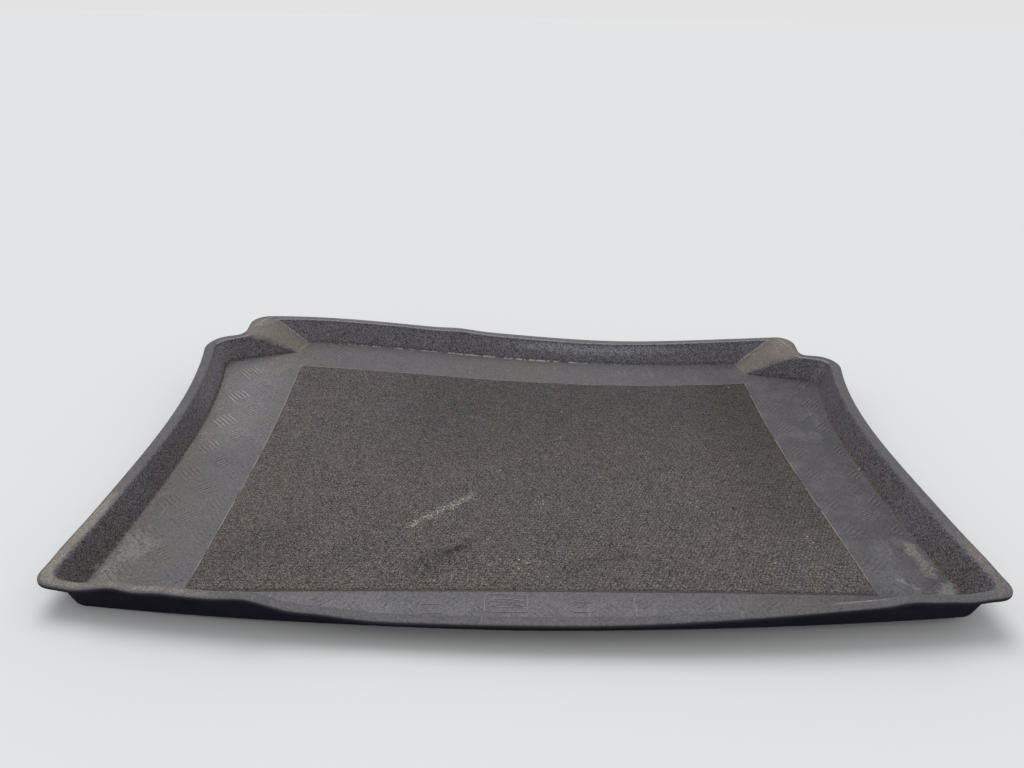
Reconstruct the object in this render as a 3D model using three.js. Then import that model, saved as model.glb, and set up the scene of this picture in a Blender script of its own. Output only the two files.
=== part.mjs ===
// Car boot liner: a one-piece moulded tray with a raised lip all round, a low
// loading edge at the front, two stepped corners at the back and an anti-slip
// mat bonded to its floor. Sizes are in millimetres. X runs across the boot,
// Y from the loading edge towards the seats and Z up from the lowest face.

import * as THREE from "three";

// Tray floor in plan
const FLOOR_WAIST_HALF = 466;
const WAIST_Y = -180;
const FLOOR_FRONT_FLARE = 14;
const FLOOR_BACK_FLARE = 24;
const FLOOR_CORNER_RADIUS = 17;
const FLOOR_STEP_RADIUS = 5;
const FLOOR_BACK_RADIUS = 4;

// Loading edge at the front: its lip line at the middle and how far the
// corners stand back from it
const TRAY_DEPTH = 710;
const FRONT_BOW = 42;
const BACK_BOW = 33;

// Stepped corners at the back, measured on the floor and on the lip
const STEP_OUTER_Y = 239;
const STEP_INNER_HALF = 381;
const STEP_INNER_Y = 277;
const BACK_FLOOR_HALF = 369;
const LIP_STEP_OUTER_Y = 246;
const LIP_STEP_INNER_Y = 262;
const BACK_LIP_HALF = 450;

// Walls and lip
const SHEET = 3;
const WALL_HEIGHT = 35;
const WALL_RUN = 15;
const FRONT_WALL_RUN = 3;
const FRONT_HEIGHT = 17;
const LIP_WIDTH = 15;
const FRONT_LIP_WIDTH = 12;
const LIP_ROLL = 3;
const LIP_CORNER_RADIUS = 15;
const STEP_CORNER_RADIUS = 21;
const STEP_INNER_RADIUS = 24;
const BACK_CORNER_RADIUS = 12;

// Below the lip the two inner corners of each step are crisp ridges, which
// soften into the lip over the last part of the wall
const RIDGE_RADIUS = 6;
const RIDGE_SHARE = 0.55;

// The front lip climbs from its low middle to the full wall height over
// these distances from the middle, later on the right than on the left
const RISE_START_LEFT = 129;
const RISE_END_LEFT = 300;
const RISE_START_RIGHT = 40;
const RISE_END_RIGHT = 486;

// The trimmed lip is wavy. Each wave is the place of its crest across the
// tray, its half length and its height.
const FRONT_WAVES = [
  [-456, 18, -3], [-412, 17, 4], [-360, 22, 2], [-273, 18, 3], [-229, 22, -3],
  [386, 17, 3], [450, 22, -3],
];
const BACK_WAVES = [[-112, 30, 2.5], [170, 120, -2.5]];

// Anti-slip mat, slightly off centre and turned on the floor
const MAT_WIDTH = 740;
const MAT_DEPTH = 529;
const MAT_THICKNESS = 2;
const MAT_GAP = 0.3;
const MAT_SHIFT_X = 6.5;
const MAT_SHIFT_Y = -21.5;
const MAT_TURN_DEG = 0.8;

// The used tray has sprung out of true. Control heights of its floor, from
// the loading edge to the back, each row from left to right. Whatever falls
// below zero lies flat on the ground.
const SAG = [
  [-8, 15, 9, 19, 8],
  [19, 4, 20, 14, 21],
  [-22, -6, -8, -23, -9],
  [19, 32, -7, -5, -3],
  [53, 63, -29, 1, 47],
];
const SAG_EASE = 0.6;

// Mesh steps along each stretch of half the outline
const STEPS = {
  front: 30, frontCorner: 6, side: 18, stepCorner: 6, step: 5, stepInner: 6, back: 4,
  backCorner: 5, backEdge: 18,
};
const BORDER_PARTS = [0.35, 0.7];
const MAT_CELLS_X = 18;
const MAT_CELLS_Y = 13;

const TRAY_HALF = FLOOR_WAIST_HALF + FLOOR_BACK_FLARE + WALL_RUN + LIP_WIDTH;
const FRONT_LIP_Y = -TRAY_DEPTH / 2;
const BACK_LIP_Y = TRAY_DEPTH / 2;

const mix = (a, b, t) => a + (b - a) * t;
const smooth = (t) => {
  const c = Math.min(1, Math.max(0, t));
  return c * c * (3 - 2 * c);
};

// Weights of five control heights at a share of the way across
function bernstein(t) {
  const u = 1 - t;
  return [u ** 4, 4 * t * u ** 3, 6 * t * t * u * u, 4 * t ** 3 * u, t ** 4];
}

// Height of the floor's underside above the ground at a place in plan
function sag(x, y) {
  const across = bernstein((x / TRAY_HALF + 1) / 2);
  const along = bernstein((y / BACK_LIP_Y + 1) / 2);
  let h = 0;
  for (let row = 0; row < 5; row++) {
    for (let col = 0; col < 5; col++) {
      h += SAG[row][col] * along[row] * across[col];
    }
  }
  if (h <= -SAG_EASE) return 0;
  if (h >= SAG_EASE) return h;
  return (h + SAG_EASE) ** 2 / (4 * SAG_EASE);
}

// Half width of the floor: narrowest at the waist, flaring to both ends
function floorHalf(y) {
  const front = (WAIST_Y - y) / (WAIST_Y - FRONT_LIP_Y);
  const back = (y - WAIST_Y) / (STEP_OUTER_Y - WAIST_Y);
  if (y < WAIST_Y) return FLOOR_WAIST_HALF + FLOOR_FRONT_FLARE * front ** 2;
  return FLOOR_WAIST_HALF + FLOOR_BACK_FLARE * back ** 4;
}

// Rounded corner between two points, a true arc when both legs are equal
function corner(from, apex, to, steps) {
  const ax = from[0] - apex[0];
  const ay = from[1] - apex[1];
  const bx = to[0] - apex[0];
  const by = to[1] - apex[1];
  const cosine = (ax * bx + ay * by) / (Math.hypot(ax, ay) * Math.hypot(bx, by));
  const w = Math.sqrt((1 - cosine) / 2);
  const points = [];
  for (let i = 1; i <= steps; i++) {
    const t = i / steps;
    const a = (1 - t) ** 2;
    const b = 2 * w * t * (1 - t);
    const c = t * t;
    const sum = a + b + c;
    points.push([
      (a * from[0] + b * apex[0] + c * to[0]) / sum,
      (a * from[1] + b * apex[1] + c * to[1]) / sum,
    ]);
  }
  return points;
}

const towards = (p, q, d) => {
  const length = Math.hypot(q[0] - p[0], q[1] - p[1]);
  return [mix(p[0], q[0], d / length), mix(p[1], q[1], d / length)];
};

function straight(from, to, steps) {
  const points = [];
  for (let i = 1; i <= steps; i++) {
    points.push([mix(from[0], to[0], i / steps), mix(from[1], to[1], i / steps)]);
  }
  return points;
}

// Right half of an outline, from the middle of the front to the middle of
// the back; the floor and the inside of the lip share it with other sizes
function halfOutline(o) {
  const frontY = (x) => o.frontY + FRONT_BOW * (x / TRAY_HALF) ** 2;
  const backY = (x) => o.backY - BACK_BOW * (x / TRAY_HALF) ** 2;
  const side = (y) => floorHalf(y) + o.run;
  let cornerX = side(o.frontY);
  for (let i = 0; i < 4; i++) cornerX = side(frontY(cornerX));
  const cornerY = frontY(cornerX);

  const points = [];
  const frontEnd = cornerX - o.frontRadius;
  for (let i = 0; i <= STEPS.front; i++) {
    const x = (frontEnd * i) / STEPS.front;
    points.push([x, frontY(x)]);
  }
  const sideStart = cornerY + o.frontRadius;
  const sideEnd = o.stepY - o.stepRadius;
  const apex = [cornerX, cornerY];
  points.push(...corner(points.at(-1), apex, [side(sideStart), sideStart], STEPS.frontCorner));
  for (let i = 1; i <= STEPS.side; i++) {
    const y = mix(sideStart, sideEnd, i / STEPS.side);
    points.push([side(y), y]);
  }
  const a = [side(o.stepY), o.stepY];
  const b = [o.innerHalf, o.innerY];
  const c = [o.backHalf, backY(o.backHalf)];
  points.push(...corner(points.at(-1), a, towards(a, b, o.stepRadius), STEPS.stepCorner));
  points.push(...straight(points.at(-1), towards(b, a, o.innerRadius), STEPS.step));
  points.push(...corner(points.at(-1), b, towards(b, c, o.innerRadius), STEPS.stepInner));
  points.push(...straight(points.at(-1), towards(c, b, o.backRadius), STEPS.back));
  const backStart = o.backHalf - o.backRadius;
  points.push(...corner(points.at(-1), c, [backStart, backY(backStart)], STEPS.backCorner));
  for (let i = 1; i <= STEPS.backEdge; i++) {
    const x = backStart * (1 - i / STEPS.backEdge);
    points.push([x, backY(x)]);
  }
  return points;
}

// Whole outline, running anticlockwise seen from above
function closeOutline(half) {
  const left = half.slice(1, -1).reverse().map(([x, y]) => [-x, y]);
  return [...half, ...left];
}

function outlines() {
  const floor = closeOutline(halfOutline({
    run: 0,
    frontY: FRONT_LIP_Y + FRONT_LIP_WIDTH + FRONT_WALL_RUN,
    backY: BACK_LIP_Y - LIP_WIDTH - WALL_RUN,
    frontRadius: FLOOR_CORNER_RADIUS,
    stepY: STEP_OUTER_Y,
    stepRadius: FLOOR_CORNER_RADIUS,
    innerHalf: STEP_INNER_HALF,
    innerY: STEP_INNER_Y,
    innerRadius: FLOOR_STEP_RADIUS,
    backHalf: BACK_FLOOR_HALF,
    backRadius: FLOOR_BACK_RADIUS,
  }));
  const atLip = {
    run: WALL_RUN,
    frontY: FRONT_LIP_Y + FRONT_LIP_WIDTH,
    backY: BACK_LIP_Y - LIP_WIDTH,
    frontRadius: LIP_CORNER_RADIUS,
    stepY: LIP_STEP_OUTER_Y,
    stepRadius: STEP_CORNER_RADIUS,
    innerHalf: BACK_LIP_HALF,
    innerY: LIP_STEP_INNER_Y,
    innerRadius: STEP_INNER_RADIUS,
    backHalf: BACK_LIP_HALF,
    backRadius: BACK_CORNER_RADIUS,
  };
  const rim = closeOutline(halfOutline(atLip));
  const ridged = { ...atLip, innerRadius: RIDGE_RADIUS, backRadius: RIDGE_RADIUS };
  const ridge = closeOutline(halfOutline(ridged));
  // outward directions in plan, square to the inside of the lip
  const out = rim.map((_, i) => {
    const before = rim[(i + rim.length - 1) % rim.length];
    const after = rim[(i + 1) % rim.length];
    const dx = after[0] - before[0];
    const dy = after[1] - before[1];
    const length = Math.hypot(dx, dy);
    return [dy / length, -dx / length];
  });
  return { floor, rim, ridge, out };
}

// How far a point of the lip has left the front edge: 0 on it, 1 at the sides
const sideways = (y) => smooth((y - FRONT_LIP_Y - FRONT_BOW) / (4 * LIP_CORNER_RADIUS));

// 1 on the back edge, 0 on the sides and in the steps
const backward = (y) => smooth((y - LIP_STEP_INNER_Y) / (BACK_LIP_Y - BACK_BOW - LIP_STEP_INNER_Y));

// Sum of bell-shaped waves at a place across the tray
const waves = (list, x) => list.reduce(
  (sum, [crest, half, height]) => sum + height * Math.exp(-(((x - crest) / half) ** 2)), 0);

// Height of the lip above the floor at a point of its outline
function lipHeight([x, y]) {
  const start = x < 0 ? RISE_START_LEFT : RISE_START_RIGHT;
  const end = x < 0 ? RISE_END_LEFT : RISE_END_RIGHT;
  const rise = smooth((Math.abs(x) - start) / (end - start));
  const even = mix(mix(FRONT_HEIGHT, WALL_HEIGHT, rise), WALL_HEIGHT, sideways(y));
  return even + waves(FRONT_WAVES, x) * (1 - sideways(y)) + waves(BACK_WAVES, x) * backward(y);
}

// A place on the mat or on the floor under it, from shares of its width and
// depth measured from the middle
function matPlace(u, v) {
  const turn = THREE.MathUtils.degToRad(MAT_TURN_DEG);
  const dx = MAT_WIDTH * u;
  const dy = MAT_DEPTH * v;
  return [
    MAT_SHIFT_X + dx * Math.cos(turn) - dy * Math.sin(turn),
    MAT_SHIFT_Y + dx * Math.sin(turn) + dy * Math.cos(turn),
  ];
}

// Where the line from the mat's middle towards a point leaves the mat
function matEdgeTowards([x, y]) {
  const turn = THREE.MathUtils.degToRad(MAT_TURN_DEG);
  const dx = x - MAT_SHIFT_X;
  const dy = y - MAT_SHIFT_Y;
  const u = (dx * Math.cos(turn) + dy * Math.sin(turn)) / MAT_WIDTH;
  const v = (dy * Math.cos(turn) - dx * Math.sin(turn)) / MAT_DEPTH;
  const reach = 0.5 / Math.max(Math.abs(u), Math.abs(v));
  return matPlace(u * reach, v * reach);
}

// Rings of the upper face from beside the mat to the lip's edge
function upperRings() {
  const { floor, rim, ridge, out } = outlines();
  const rings = BORDER_PARTS.map((part) => floor.map((point) => {
    const edge = matEdgeTowards(point);
    const px = mix(edge[0], point[0], part);
    const py = mix(edge[1], point[1], part);
    return [px, py, SHEET + sag(px, py)];
  }));
  // a station lies part of the way up the wall, or some share of the way out
  // across the lip
  const station = (part, share, lift, drop) => floor.map(([x, y], i) => {
    const [rx, ry] = rim[i];
    const softness = smooth((part - RIDGE_SHARE) / (1 - RIDGE_SHARE));
    const wx = mix(ridge[i][0], rx, softness);
    const wy = mix(ridge[i][1], ry, softness);
    const outward = share * mix(FRONT_LIP_WIDTH, LIP_WIDTH, sideways(ry));
    const px = mix(x, wx, part) + out[i][0] * outward;
    const py = mix(y, wy, part) + out[i][1] * outward;
    const [bx, by] = part < 1 ? [px, py] : [rx, ry];
    return [px, py, SHEET + sag(bx, by) + lipHeight(rim[i]) * lift - drop];
  });
  rings.push(station(-0.2, 0, 0, 0));
  rings.push(station(0, 0, 0.05, 0));
  rings.push(station(0.2, 0, 0.2, 0));
  rings.push(station(0.52, 0, 0.52, 0));
  rings.push(station(0.85, 0, 0.85, 0));
  rings.push(station(1, 0, 0.965, 0));
  rings.push(station(1, 0.2, 1, 0));
  rings.push(station(1, 0.8, 1, 0.2));
  rings.push(station(1, 0.94, 1, LIP_ROLL / 3));
  rings.push(station(1, 1, 1, LIP_ROLL));
  return rings;
}

// Lower face: the sheet's thickness is set off square to the upper face, and
// nothing hangs below the floor's own underside
function lowerRings(upper) {
  const count = upper[0].length;
  return upper.map((ring, r) => ring.map(([x, y, z], i) => {
    const inner = upper[Math.max(0, r - 1)];
    const outer = upper[Math.min(upper.length - 1, r + 1)];
    const before = ring[(i + count - 1) % count];
    const after = ring[(i + 1) % count];
    const a = new THREE.Vector3(...outer[i]).sub(new THREE.Vector3(...inner[i]));
    const b = new THREE.Vector3(...after).sub(new THREE.Vector3(...before));
    const n = a.cross(b).normalize();
    const steep = r < BORDER_PARTS.length + 1 ? 1 : Math.min(2.4, 1 / Math.max(n.z, 0.1));
    const limit = r < upper.length - 2 ? steep : 1;
    return [x, y, Math.max(z - SHEET * limit, sag(x, y))];
  }));
}

function toGeometry(vertices, faces) {
  const geometry = new THREE.BufferGeometry();
  geometry.setAttribute("position", new THREE.Float32BufferAttribute(vertices.flat(), 3));
  geometry.setIndex(faces.flat());
  geometry.computeVertexNormals();
  return geometry;
}

// Grid of the mat's footprint, and the order of its outer points
function matGrid(lift) {
  const points = [];
  for (let r = 0; r <= MAT_CELLS_Y; r++) {
    for (let c = 0; c <= MAT_CELLS_X; c++) {
      const [x, y] = matPlace(c / MAT_CELLS_X - 0.5, r / MAT_CELLS_Y - 0.5);
      points.push([x, y, lift + sag(x, y)]);
    }
  }
  return points;
}

const gridIndex = (c, r) => r * (MAT_CELLS_X + 1) + c;

function gridFaces(first, upward) {
  const faces = [];
  for (let r = 0; r < MAT_CELLS_Y; r++) {
    for (let c = 0; c < MAT_CELLS_X; c++) {
      const p = first + gridIndex(c, r);
      const q = first + gridIndex(c + 1, r);
      const s = first + gridIndex(c + 1, r + 1);
      const t = first + gridIndex(c, r + 1);
      faces.push(upward ? [p, q, s] : [p, s, q]);
      faces.push(upward ? [p, s, t] : [p, t, s]);
    }
  }
  return faces;
}

function gridEdge() {
  const edge = [];
  for (let c = 0; c < MAT_CELLS_X; c++) edge.push(gridIndex(c, 0));
  for (let r = 0; r < MAT_CELLS_Y; r++) edge.push(gridIndex(MAT_CELLS_X, r));
  for (let c = MAT_CELLS_X; c > 0; c--) edge.push(gridIndex(c, MAT_CELLS_Y));
  for (let r = MAT_CELLS_Y; r > 0; r--) edge.push(gridIndex(0, r));
  return edge;
}

// Faces between an inner and an outer loop with different numbers of points,
// taken in order of their bearing from the mat's middle
function stitch(vertices, inner, outer) {
  const bearing = (k) => {
    const a = Math.atan2(vertices[k][0] - MAT_SHIFT_X, MAT_SHIFT_Y - vertices[k][1]);
    return a < 0 ? a + 2 * Math.PI : a;
  };
  const turned = (loop) => {
    const start = loop.reduce((best, k, i) => (bearing(k) < bearing(loop[best]) ? i : best), 0);
    return [...loop.slice(start), ...loop.slice(0, start)];
  };
  const a = turned(inner);
  const b = turned(outer);
  const next = (loop, i) => (i + 1 < loop.length ? bearing(loop[i + 1]) : 7 + i - loop.length);
  const faces = [];
  let i = 0;
  let j = 0;
  while (i < a.length || j < b.length) {
    const innerFirst = j >= b.length || (i < a.length && next(a, i) < next(b, j));
    const p = a[i % a.length];
    const q = b[j % b.length];
    if (innerFirst) {
      faces.push([p, q, a[(i + 1) % a.length]]);
      i += 1;
    } else {
      faces.push([p, q, b[(j + 1) % b.length]]);
      j += 1;
    }
  }
  return faces;
}

function trayGeometry() {
  const upper = upperRings();
  const lower = lowerRings(upper);
  const count = upper[0].length;
  const rings = upper.length;
  const vertices = [...upper.flat(), ...lower.flat()];
  const top = (r, i) => r * count + (i % count);
  const bottom = (r, i) => rings * count + r * count + (i % count);
  const topGrid = vertices.length;
  vertices.push(...matGrid(SHEET));
  const bottomGrid = vertices.length;
  vertices.push(...matGrid(0));

  const faces = [...gridFaces(topGrid, true), ...gridFaces(bottomGrid, false)];
  const loop = upper[0].map((_, i) => i);
  faces.push(...stitch(vertices, gridEdge().map((k) => topGrid + k), loop));
  const under = stitch(
    vertices,
    gridEdge().map((k) => bottomGrid + k),
    loop.map((i) => bottom(0, i)),
  );
  faces.push(...under.map(([p, q, s]) => [p, s, q]));
  for (let i = 0; i < count; i++) {
    for (let r = 0; r < rings - 1; r++) {
      faces.push([top(r, i), top(r + 1, i), top(r + 1, i + 1)]);
      faces.push([top(r, i), top(r + 1, i + 1), top(r, i + 1)]);
      faces.push([bottom(r, i), bottom(r + 1, i + 1), bottom(r + 1, i)]);
      faces.push([bottom(r, i), bottom(r, i + 1), bottom(r + 1, i + 1)]);
    }
    faces.push([top(rings - 1, i), bottom(rings - 1, i), bottom(rings - 1, i + 1)]);
    faces.push([top(rings - 1, i), bottom(rings - 1, i + 1), top(rings - 1, i + 1)]);
  }
  return toGeometry(vertices, faces);
}

// The mat is a thin plate that lies along the floor with a small gap
function matGeometry() {
  const upper = matGrid(SHEET + MAT_GAP + MAT_THICKNESS);
  const vertices = [...upper, ...matGrid(SHEET + MAT_GAP)];
  const faces = [...gridFaces(0, true), ...gridFaces(upper.length, false)];
  const edge = gridEdge();
  edge.forEach((k, i) => {
    const next = edge[(i + 1) % edge.length];
    faces.push([k, k + upper.length, next + upper.length]);
    faces.push([k, next + upper.length, next]);
  });
  return toGeometry(vertices, faces);
}

function named(name, geometry, colour, roughness) {
  const material = new THREE.MeshStandardMaterial({ color: colour, roughness, metalness: 0 });
  material.name = name;
  const mesh = new THREE.Mesh(geometry, material);
  mesh.name = name;
  return mesh;
}

const group = new THREE.Group();
group.name = "boot_liner";
group.add(named("liner_tray", trayGeometry(), 0x59565a, 0.7));
group.add(named("anti_slip_mat", matGeometry(), 0x4a4740, 0.9));

export default group;
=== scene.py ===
# %% [markdown]
# A used boot liner: a tray of thin moulded plastic with a lip all round, and a
# textured anti-slip mat bonded to its floor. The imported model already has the
# right sizes and the right places, so it is loaded first and everything below
# is made to fit it.

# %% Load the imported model
from math import radians

import bpy
import numpy as np
from mathutils import Matrix


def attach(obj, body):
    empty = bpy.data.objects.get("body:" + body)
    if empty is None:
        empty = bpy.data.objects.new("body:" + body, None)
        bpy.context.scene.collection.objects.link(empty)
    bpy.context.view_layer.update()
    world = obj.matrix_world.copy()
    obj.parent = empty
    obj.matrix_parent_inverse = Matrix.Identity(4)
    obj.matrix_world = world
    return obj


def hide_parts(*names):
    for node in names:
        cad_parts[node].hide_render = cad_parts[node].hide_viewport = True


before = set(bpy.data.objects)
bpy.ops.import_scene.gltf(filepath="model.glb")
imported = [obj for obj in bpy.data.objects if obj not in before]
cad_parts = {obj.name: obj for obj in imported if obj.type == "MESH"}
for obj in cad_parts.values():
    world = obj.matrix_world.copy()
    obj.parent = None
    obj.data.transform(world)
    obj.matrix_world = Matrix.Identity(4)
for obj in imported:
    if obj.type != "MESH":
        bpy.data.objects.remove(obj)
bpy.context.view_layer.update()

MM = 0.001

# %% [markdown]
# The camera comes next, because every finish is judged through it. It stands a
# little above the tray and looks down across it from the loading edge. A wide
# lens close by gives the strong narrowing towards the back.

# %% Camera
CAMERA_PLACE = (-11, -942, 573)
CAMERA_YAW = -0.29
CAMERA_PITCH = 25.61
CAMERA_ROLL = -1.08
PICTURE_WIDTH = 1024
FOCAL_PIXELS = 784
SENSOR_WIDTH = 36


def look_along(yaw, pitch, roll):
    """Rotation whose columns are the camera's right, up and backward axes.

    The forward axis is turned from +Y by the yaw and dipped by the pitch, and
    right and up are then rolled about it.
    """
    yaw, pitch, roll = radians(yaw), radians(pitch), radians(roll)
    forward = np.array([np.sin(yaw) * np.cos(pitch), np.cos(yaw) * np.cos(pitch), -np.sin(pitch)])
    level = np.array([np.cos(yaw), -np.sin(yaw), 0])
    down = np.cross(forward, level)
    right = np.cos(roll) * level + np.sin(roll) * down
    up = np.sin(roll) * level - np.cos(roll) * down
    return np.column_stack([right, up, -forward])


camera_data = bpy.data.cameras.new("camera")
camera_data.sensor_width = SENSOR_WIDTH
camera_data.lens = FOCAL_PIXELS / PICTURE_WIDTH * SENSOR_WIDTH
camera = bpy.data.objects.new("camera", camera_data)
bpy.context.scene.collection.objects.link(camera)
turn = Matrix(look_along(CAMERA_YAW, CAMERA_PITCH, CAMERA_ROLL).tolist()).to_4x4()
camera.matrix_world = Matrix.Translation([v * MM for v in CAMERA_PLACE]) @ turn
bpy.context.scene.camera = camera
print("lens", round(camera_data.lens, 2), "mm")

# %% [markdown]
# Years of loads have sprung the thin floor out of true. The spring is one
# smooth surface over the whole plan, pulled about by twenty-five heights, as a
# net over a mould would be. Whatever would sink below the ground lies flat.

# %% Sprung floor
TRAY_HALF = 520
BACK_LIP_Y = 355
FRONT_LIP_Y = -355
SPRING = np.array([
    [-8, 15, 9, 19, 8],
    [19, 4, 20, 14, 21],
    [-22, -6, -8, -23, -9],
    [19, 32, -7, -5, -3],
    [53, 63, -29, 1, 47],
])
SPRING_EASE = 0.6


def five_weights(t):
    """Weights of five heights at a share t of the way: powers of t and 1 - t."""
    u = 1 - t
    return np.stack([u ** 4, 4 * t * u ** 3, 6 * t ** 2 * u ** 2, 4 * t ** 3 * u, t ** 4], axis=-1)


def floor_height(x, y):
    """Underside of the floor at a place in plan: the net's weighted heights.

    Heights below zero are laid flat, with a short parabola where they meet.
    """
    columns = five_weights((x / TRAY_HALF + 1) / 2)
    rows = five_weights((y / BACK_LIP_Y + 1) / 2)
    h = np.einsum("...r,rc,...c->...", rows, SPRING, columns)
    eased = (h + SPRING_EASE) ** 2 / (4 * SPRING_EASE)
    return np.where(h <= -SPRING_EASE, 0, np.where(h >= SPRING_EASE, h, eased))


print("floor at the back corners", floor_height(np.array([-450, 450]), np.array([300, 300])).round(1))

# %% [markdown]
# The tray is drawn as two outlines: the edge of its floor, and the inside of
# its lip. Both run along a bowed loading edge, up a waisted side, round a step
# that clears the wheel arch and along a bowed back. One function draws half of
# either, and the other half is its mirror image.

# %% Outlines
FLOOR_WAIST_HALF = 466
WAIST_Y = -180
FRONT_FLARE = 14
BACK_FLARE = 24
FLOOR_CORNER_RADIUS = 17
FLOOR_STEP_RADIUS = 5
FLOOR_BACK_RADIUS = 4
FRONT_BOW = 42
BACK_BOW = 33
WALL_RUN = 15
FRONT_WALL_RUN = 3
LIP_WIDTH = 15
FRONT_LIP_WIDTH = 12
STEP_OUTER_Y = 239
STEP_INNER_HALF = 381
STEP_INNER_Y = 277
BACK_FLOOR_HALF = 369
LIP_STEP_OUTER_Y = 246
LIP_STEP_INNER_Y = 262
BACK_LIP_HALF = 450
LIP_CORNER_RADIUS = 15
STEP_CORNER_RADIUS = 21
STEP_INNER_RADIUS = 24
BACK_CORNER_RADIUS = 12
RIDGE_RADIUS = 6
RIDGE_BACK_HALF = 424
CORNER_ROUNDS = 4
STEPS = dict(front=66, front_corner=14, side=84, step_corner=16, step=14, step_inner=16,
             back=14, back_corner=12, back_edge=60)


def side_half(y):
    """Half width of the floor: a square law to the front, a fourth power to the back."""
    front = (WAIST_Y - y) / (WAIST_Y - FRONT_LIP_Y)
    back = (y - WAIST_Y) / (STEP_OUTER_Y - WAIST_Y)
    flare = np.where(y < WAIST_Y, FRONT_FLARE * front ** 2, BACK_FLARE * back ** 4)
    return FLOOR_WAIST_HALF + flare


def arc(start, apex, end, steps):
    """Points of a round corner: a weighted mean of its two ends and its apex."""
    start, apex, end = (np.asarray(p, float) for p in (start, apex, end))
    a, b = start - apex, end - apex
    cosine = a @ b / (np.linalg.norm(a) * np.linalg.norm(b))
    pull = np.sqrt((1 - cosine) / 2)
    t = (np.arange(1, steps + 1) / steps)[:, None]
    weights = (1 - t) ** 2, 2 * pull * t * (1 - t), t ** 2
    return (weights[0] * start + weights[1] * apex + weights[2] * end) / sum(weights)


def line(start, end, steps):
    """Evenly spaced points from start, left out, to end."""
    t = (np.arange(1, steps + 1) / steps)[:, None]
    return np.asarray(start, float) * (1 - t) + np.asarray(end, float) * t


def along(p, q, distance):
    """The point that lies a distance from p towards q."""
    p, q = np.asarray(p, float), np.asarray(q, float)
    return p + (q - p) * distance / np.linalg.norm(q - p)


def half_outline(run, front_y, back_y, front_radius, step_y, step_radius, inner, inner_radius,
                 back_half, back_radius):
    """Right half of an outline, from the middle of the front to that of the back."""
    def front_line(x):
        return front_y + FRONT_BOW * (x / TRAY_HALF) ** 2

    def back_line(x):
        return back_y - BACK_BOW * (x / TRAY_HALF) ** 2

    def side(y):
        return side_half(y) + run

    corner_x = side(front_y)
    for _ in range(CORNER_ROUNDS):
        corner_x = side(front_line(corner_x))
    corner_y = front_line(corner_x)
    x = np.linspace(0, corner_x - front_radius, STEPS["front"] + 1)
    parts = [np.column_stack([x, front_line(x)])]
    low, high = corner_y + front_radius, step_y - step_radius
    parts.append(arc(parts[-1][-1], (corner_x, corner_y), (side(low), low), STEPS["front_corner"]))
    y = line([low], [high], STEPS["side"])[:, 0]
    parts.append(np.column_stack([side(y), y]))
    a, b, c = (side(step_y), step_y), inner, (back_half, back_line(back_half))
    parts.append(arc(parts[-1][-1], a, along(a, b, step_radius), STEPS["step_corner"]))
    parts.append(line(parts[-1][-1], along(b, a, inner_radius), STEPS["step"]))
    parts.append(arc(parts[-1][-1], b, along(b, c, inner_radius), STEPS["step_inner"]))
    parts.append(line(parts[-1][-1], along(c, b, back_radius), STEPS["back"]))
    back_start = back_half - back_radius
    parts.append(arc(parts[-1][-1], c, (back_start, back_line(back_start)), STEPS["back_corner"]))
    x = line([back_start], [0], STEPS["back_edge"])[:, 0]
    parts.append(np.column_stack([x, back_line(x)]))
    return np.vstack(parts)


def mirrored(half):
    """The whole outline, anticlockwise from above, from its right half."""
    return np.vstack([half, (half[1:-1] * [-1, 1])[::-1]])


floor_line = mirrored(half_outline(
    0, FRONT_LIP_Y + FRONT_LIP_WIDTH + FRONT_WALL_RUN, BACK_LIP_Y - LIP_WIDTH - WALL_RUN,
    FLOOR_CORNER_RADIUS, STEP_OUTER_Y, FLOOR_CORNER_RADIUS, (STEP_INNER_HALF, STEP_INNER_Y),
    FLOOR_STEP_RADIUS, BACK_FLOOR_HALF, FLOOR_BACK_RADIUS))


def lip_outline(inner_radius, back_radius, back_half):
    """The inside of the lip, with its two inner corners rounded and placed as asked."""
    return mirrored(half_outline(
        WALL_RUN, FRONT_LIP_Y + FRONT_LIP_WIDTH, BACK_LIP_Y - LIP_WIDTH,
        LIP_CORNER_RADIUS, LIP_STEP_OUTER_Y, STEP_CORNER_RADIUS, (BACK_LIP_HALF, LIP_STEP_INNER_Y),
        inner_radius, back_half, back_radius))


rim_line = lip_outline(STEP_INNER_RADIUS, BACK_CORNER_RADIUS, BACK_LIP_HALF)
ridge_line = lip_outline(RIDGE_RADIUS, RIDGE_RADIUS, RIDGE_BACK_HALF)
tangent = np.roll(rim_line, -1, axis=0) - np.roll(rim_line, 1, axis=0)
tangent /= np.linalg.norm(tangent, axis=1)[:, None]
outward = np.column_stack([tangent[:, 1], -tangent[:, 0], np.zeros(len(tangent))])
around = len(floor_line)


def points_past(name):
    """How many points each point lies past the start of a stretch, on both sides."""
    names = list(STEPS)
    start = sum(STEPS[n] for n in names[:names.index(name)])
    index = np.arange(around)
    return np.minimum(index, around - index) - start


def near_corner(name, spread):
    """1 at the middle of a corner on both sides, and a bell curve of the points away from it."""
    return np.exp(-((points_past(name) - STEPS[name] / 2) / spread) ** 2)


def covered(name):
    """Share of one stretch of the outline that lies behind each point, on both sides."""
    return np.clip(points_past(name) / STEPS[name], 0, 1)


half_widths = [outline[:, 0].max().round(1) for outline in (floor_line, rim_line)]
print("outline points", around, "half widths", half_widths)

# %% [markdown]
# The lip is low along the loading edge, so that bags slide over it, and climbs
# to the full wall height towards the corners. It climbs later on the right,
# where the used tray is trodden down. Its trimmed edge is also wavy, and each
# wave is a crest's place across the tray, its half length and its height.

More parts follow.
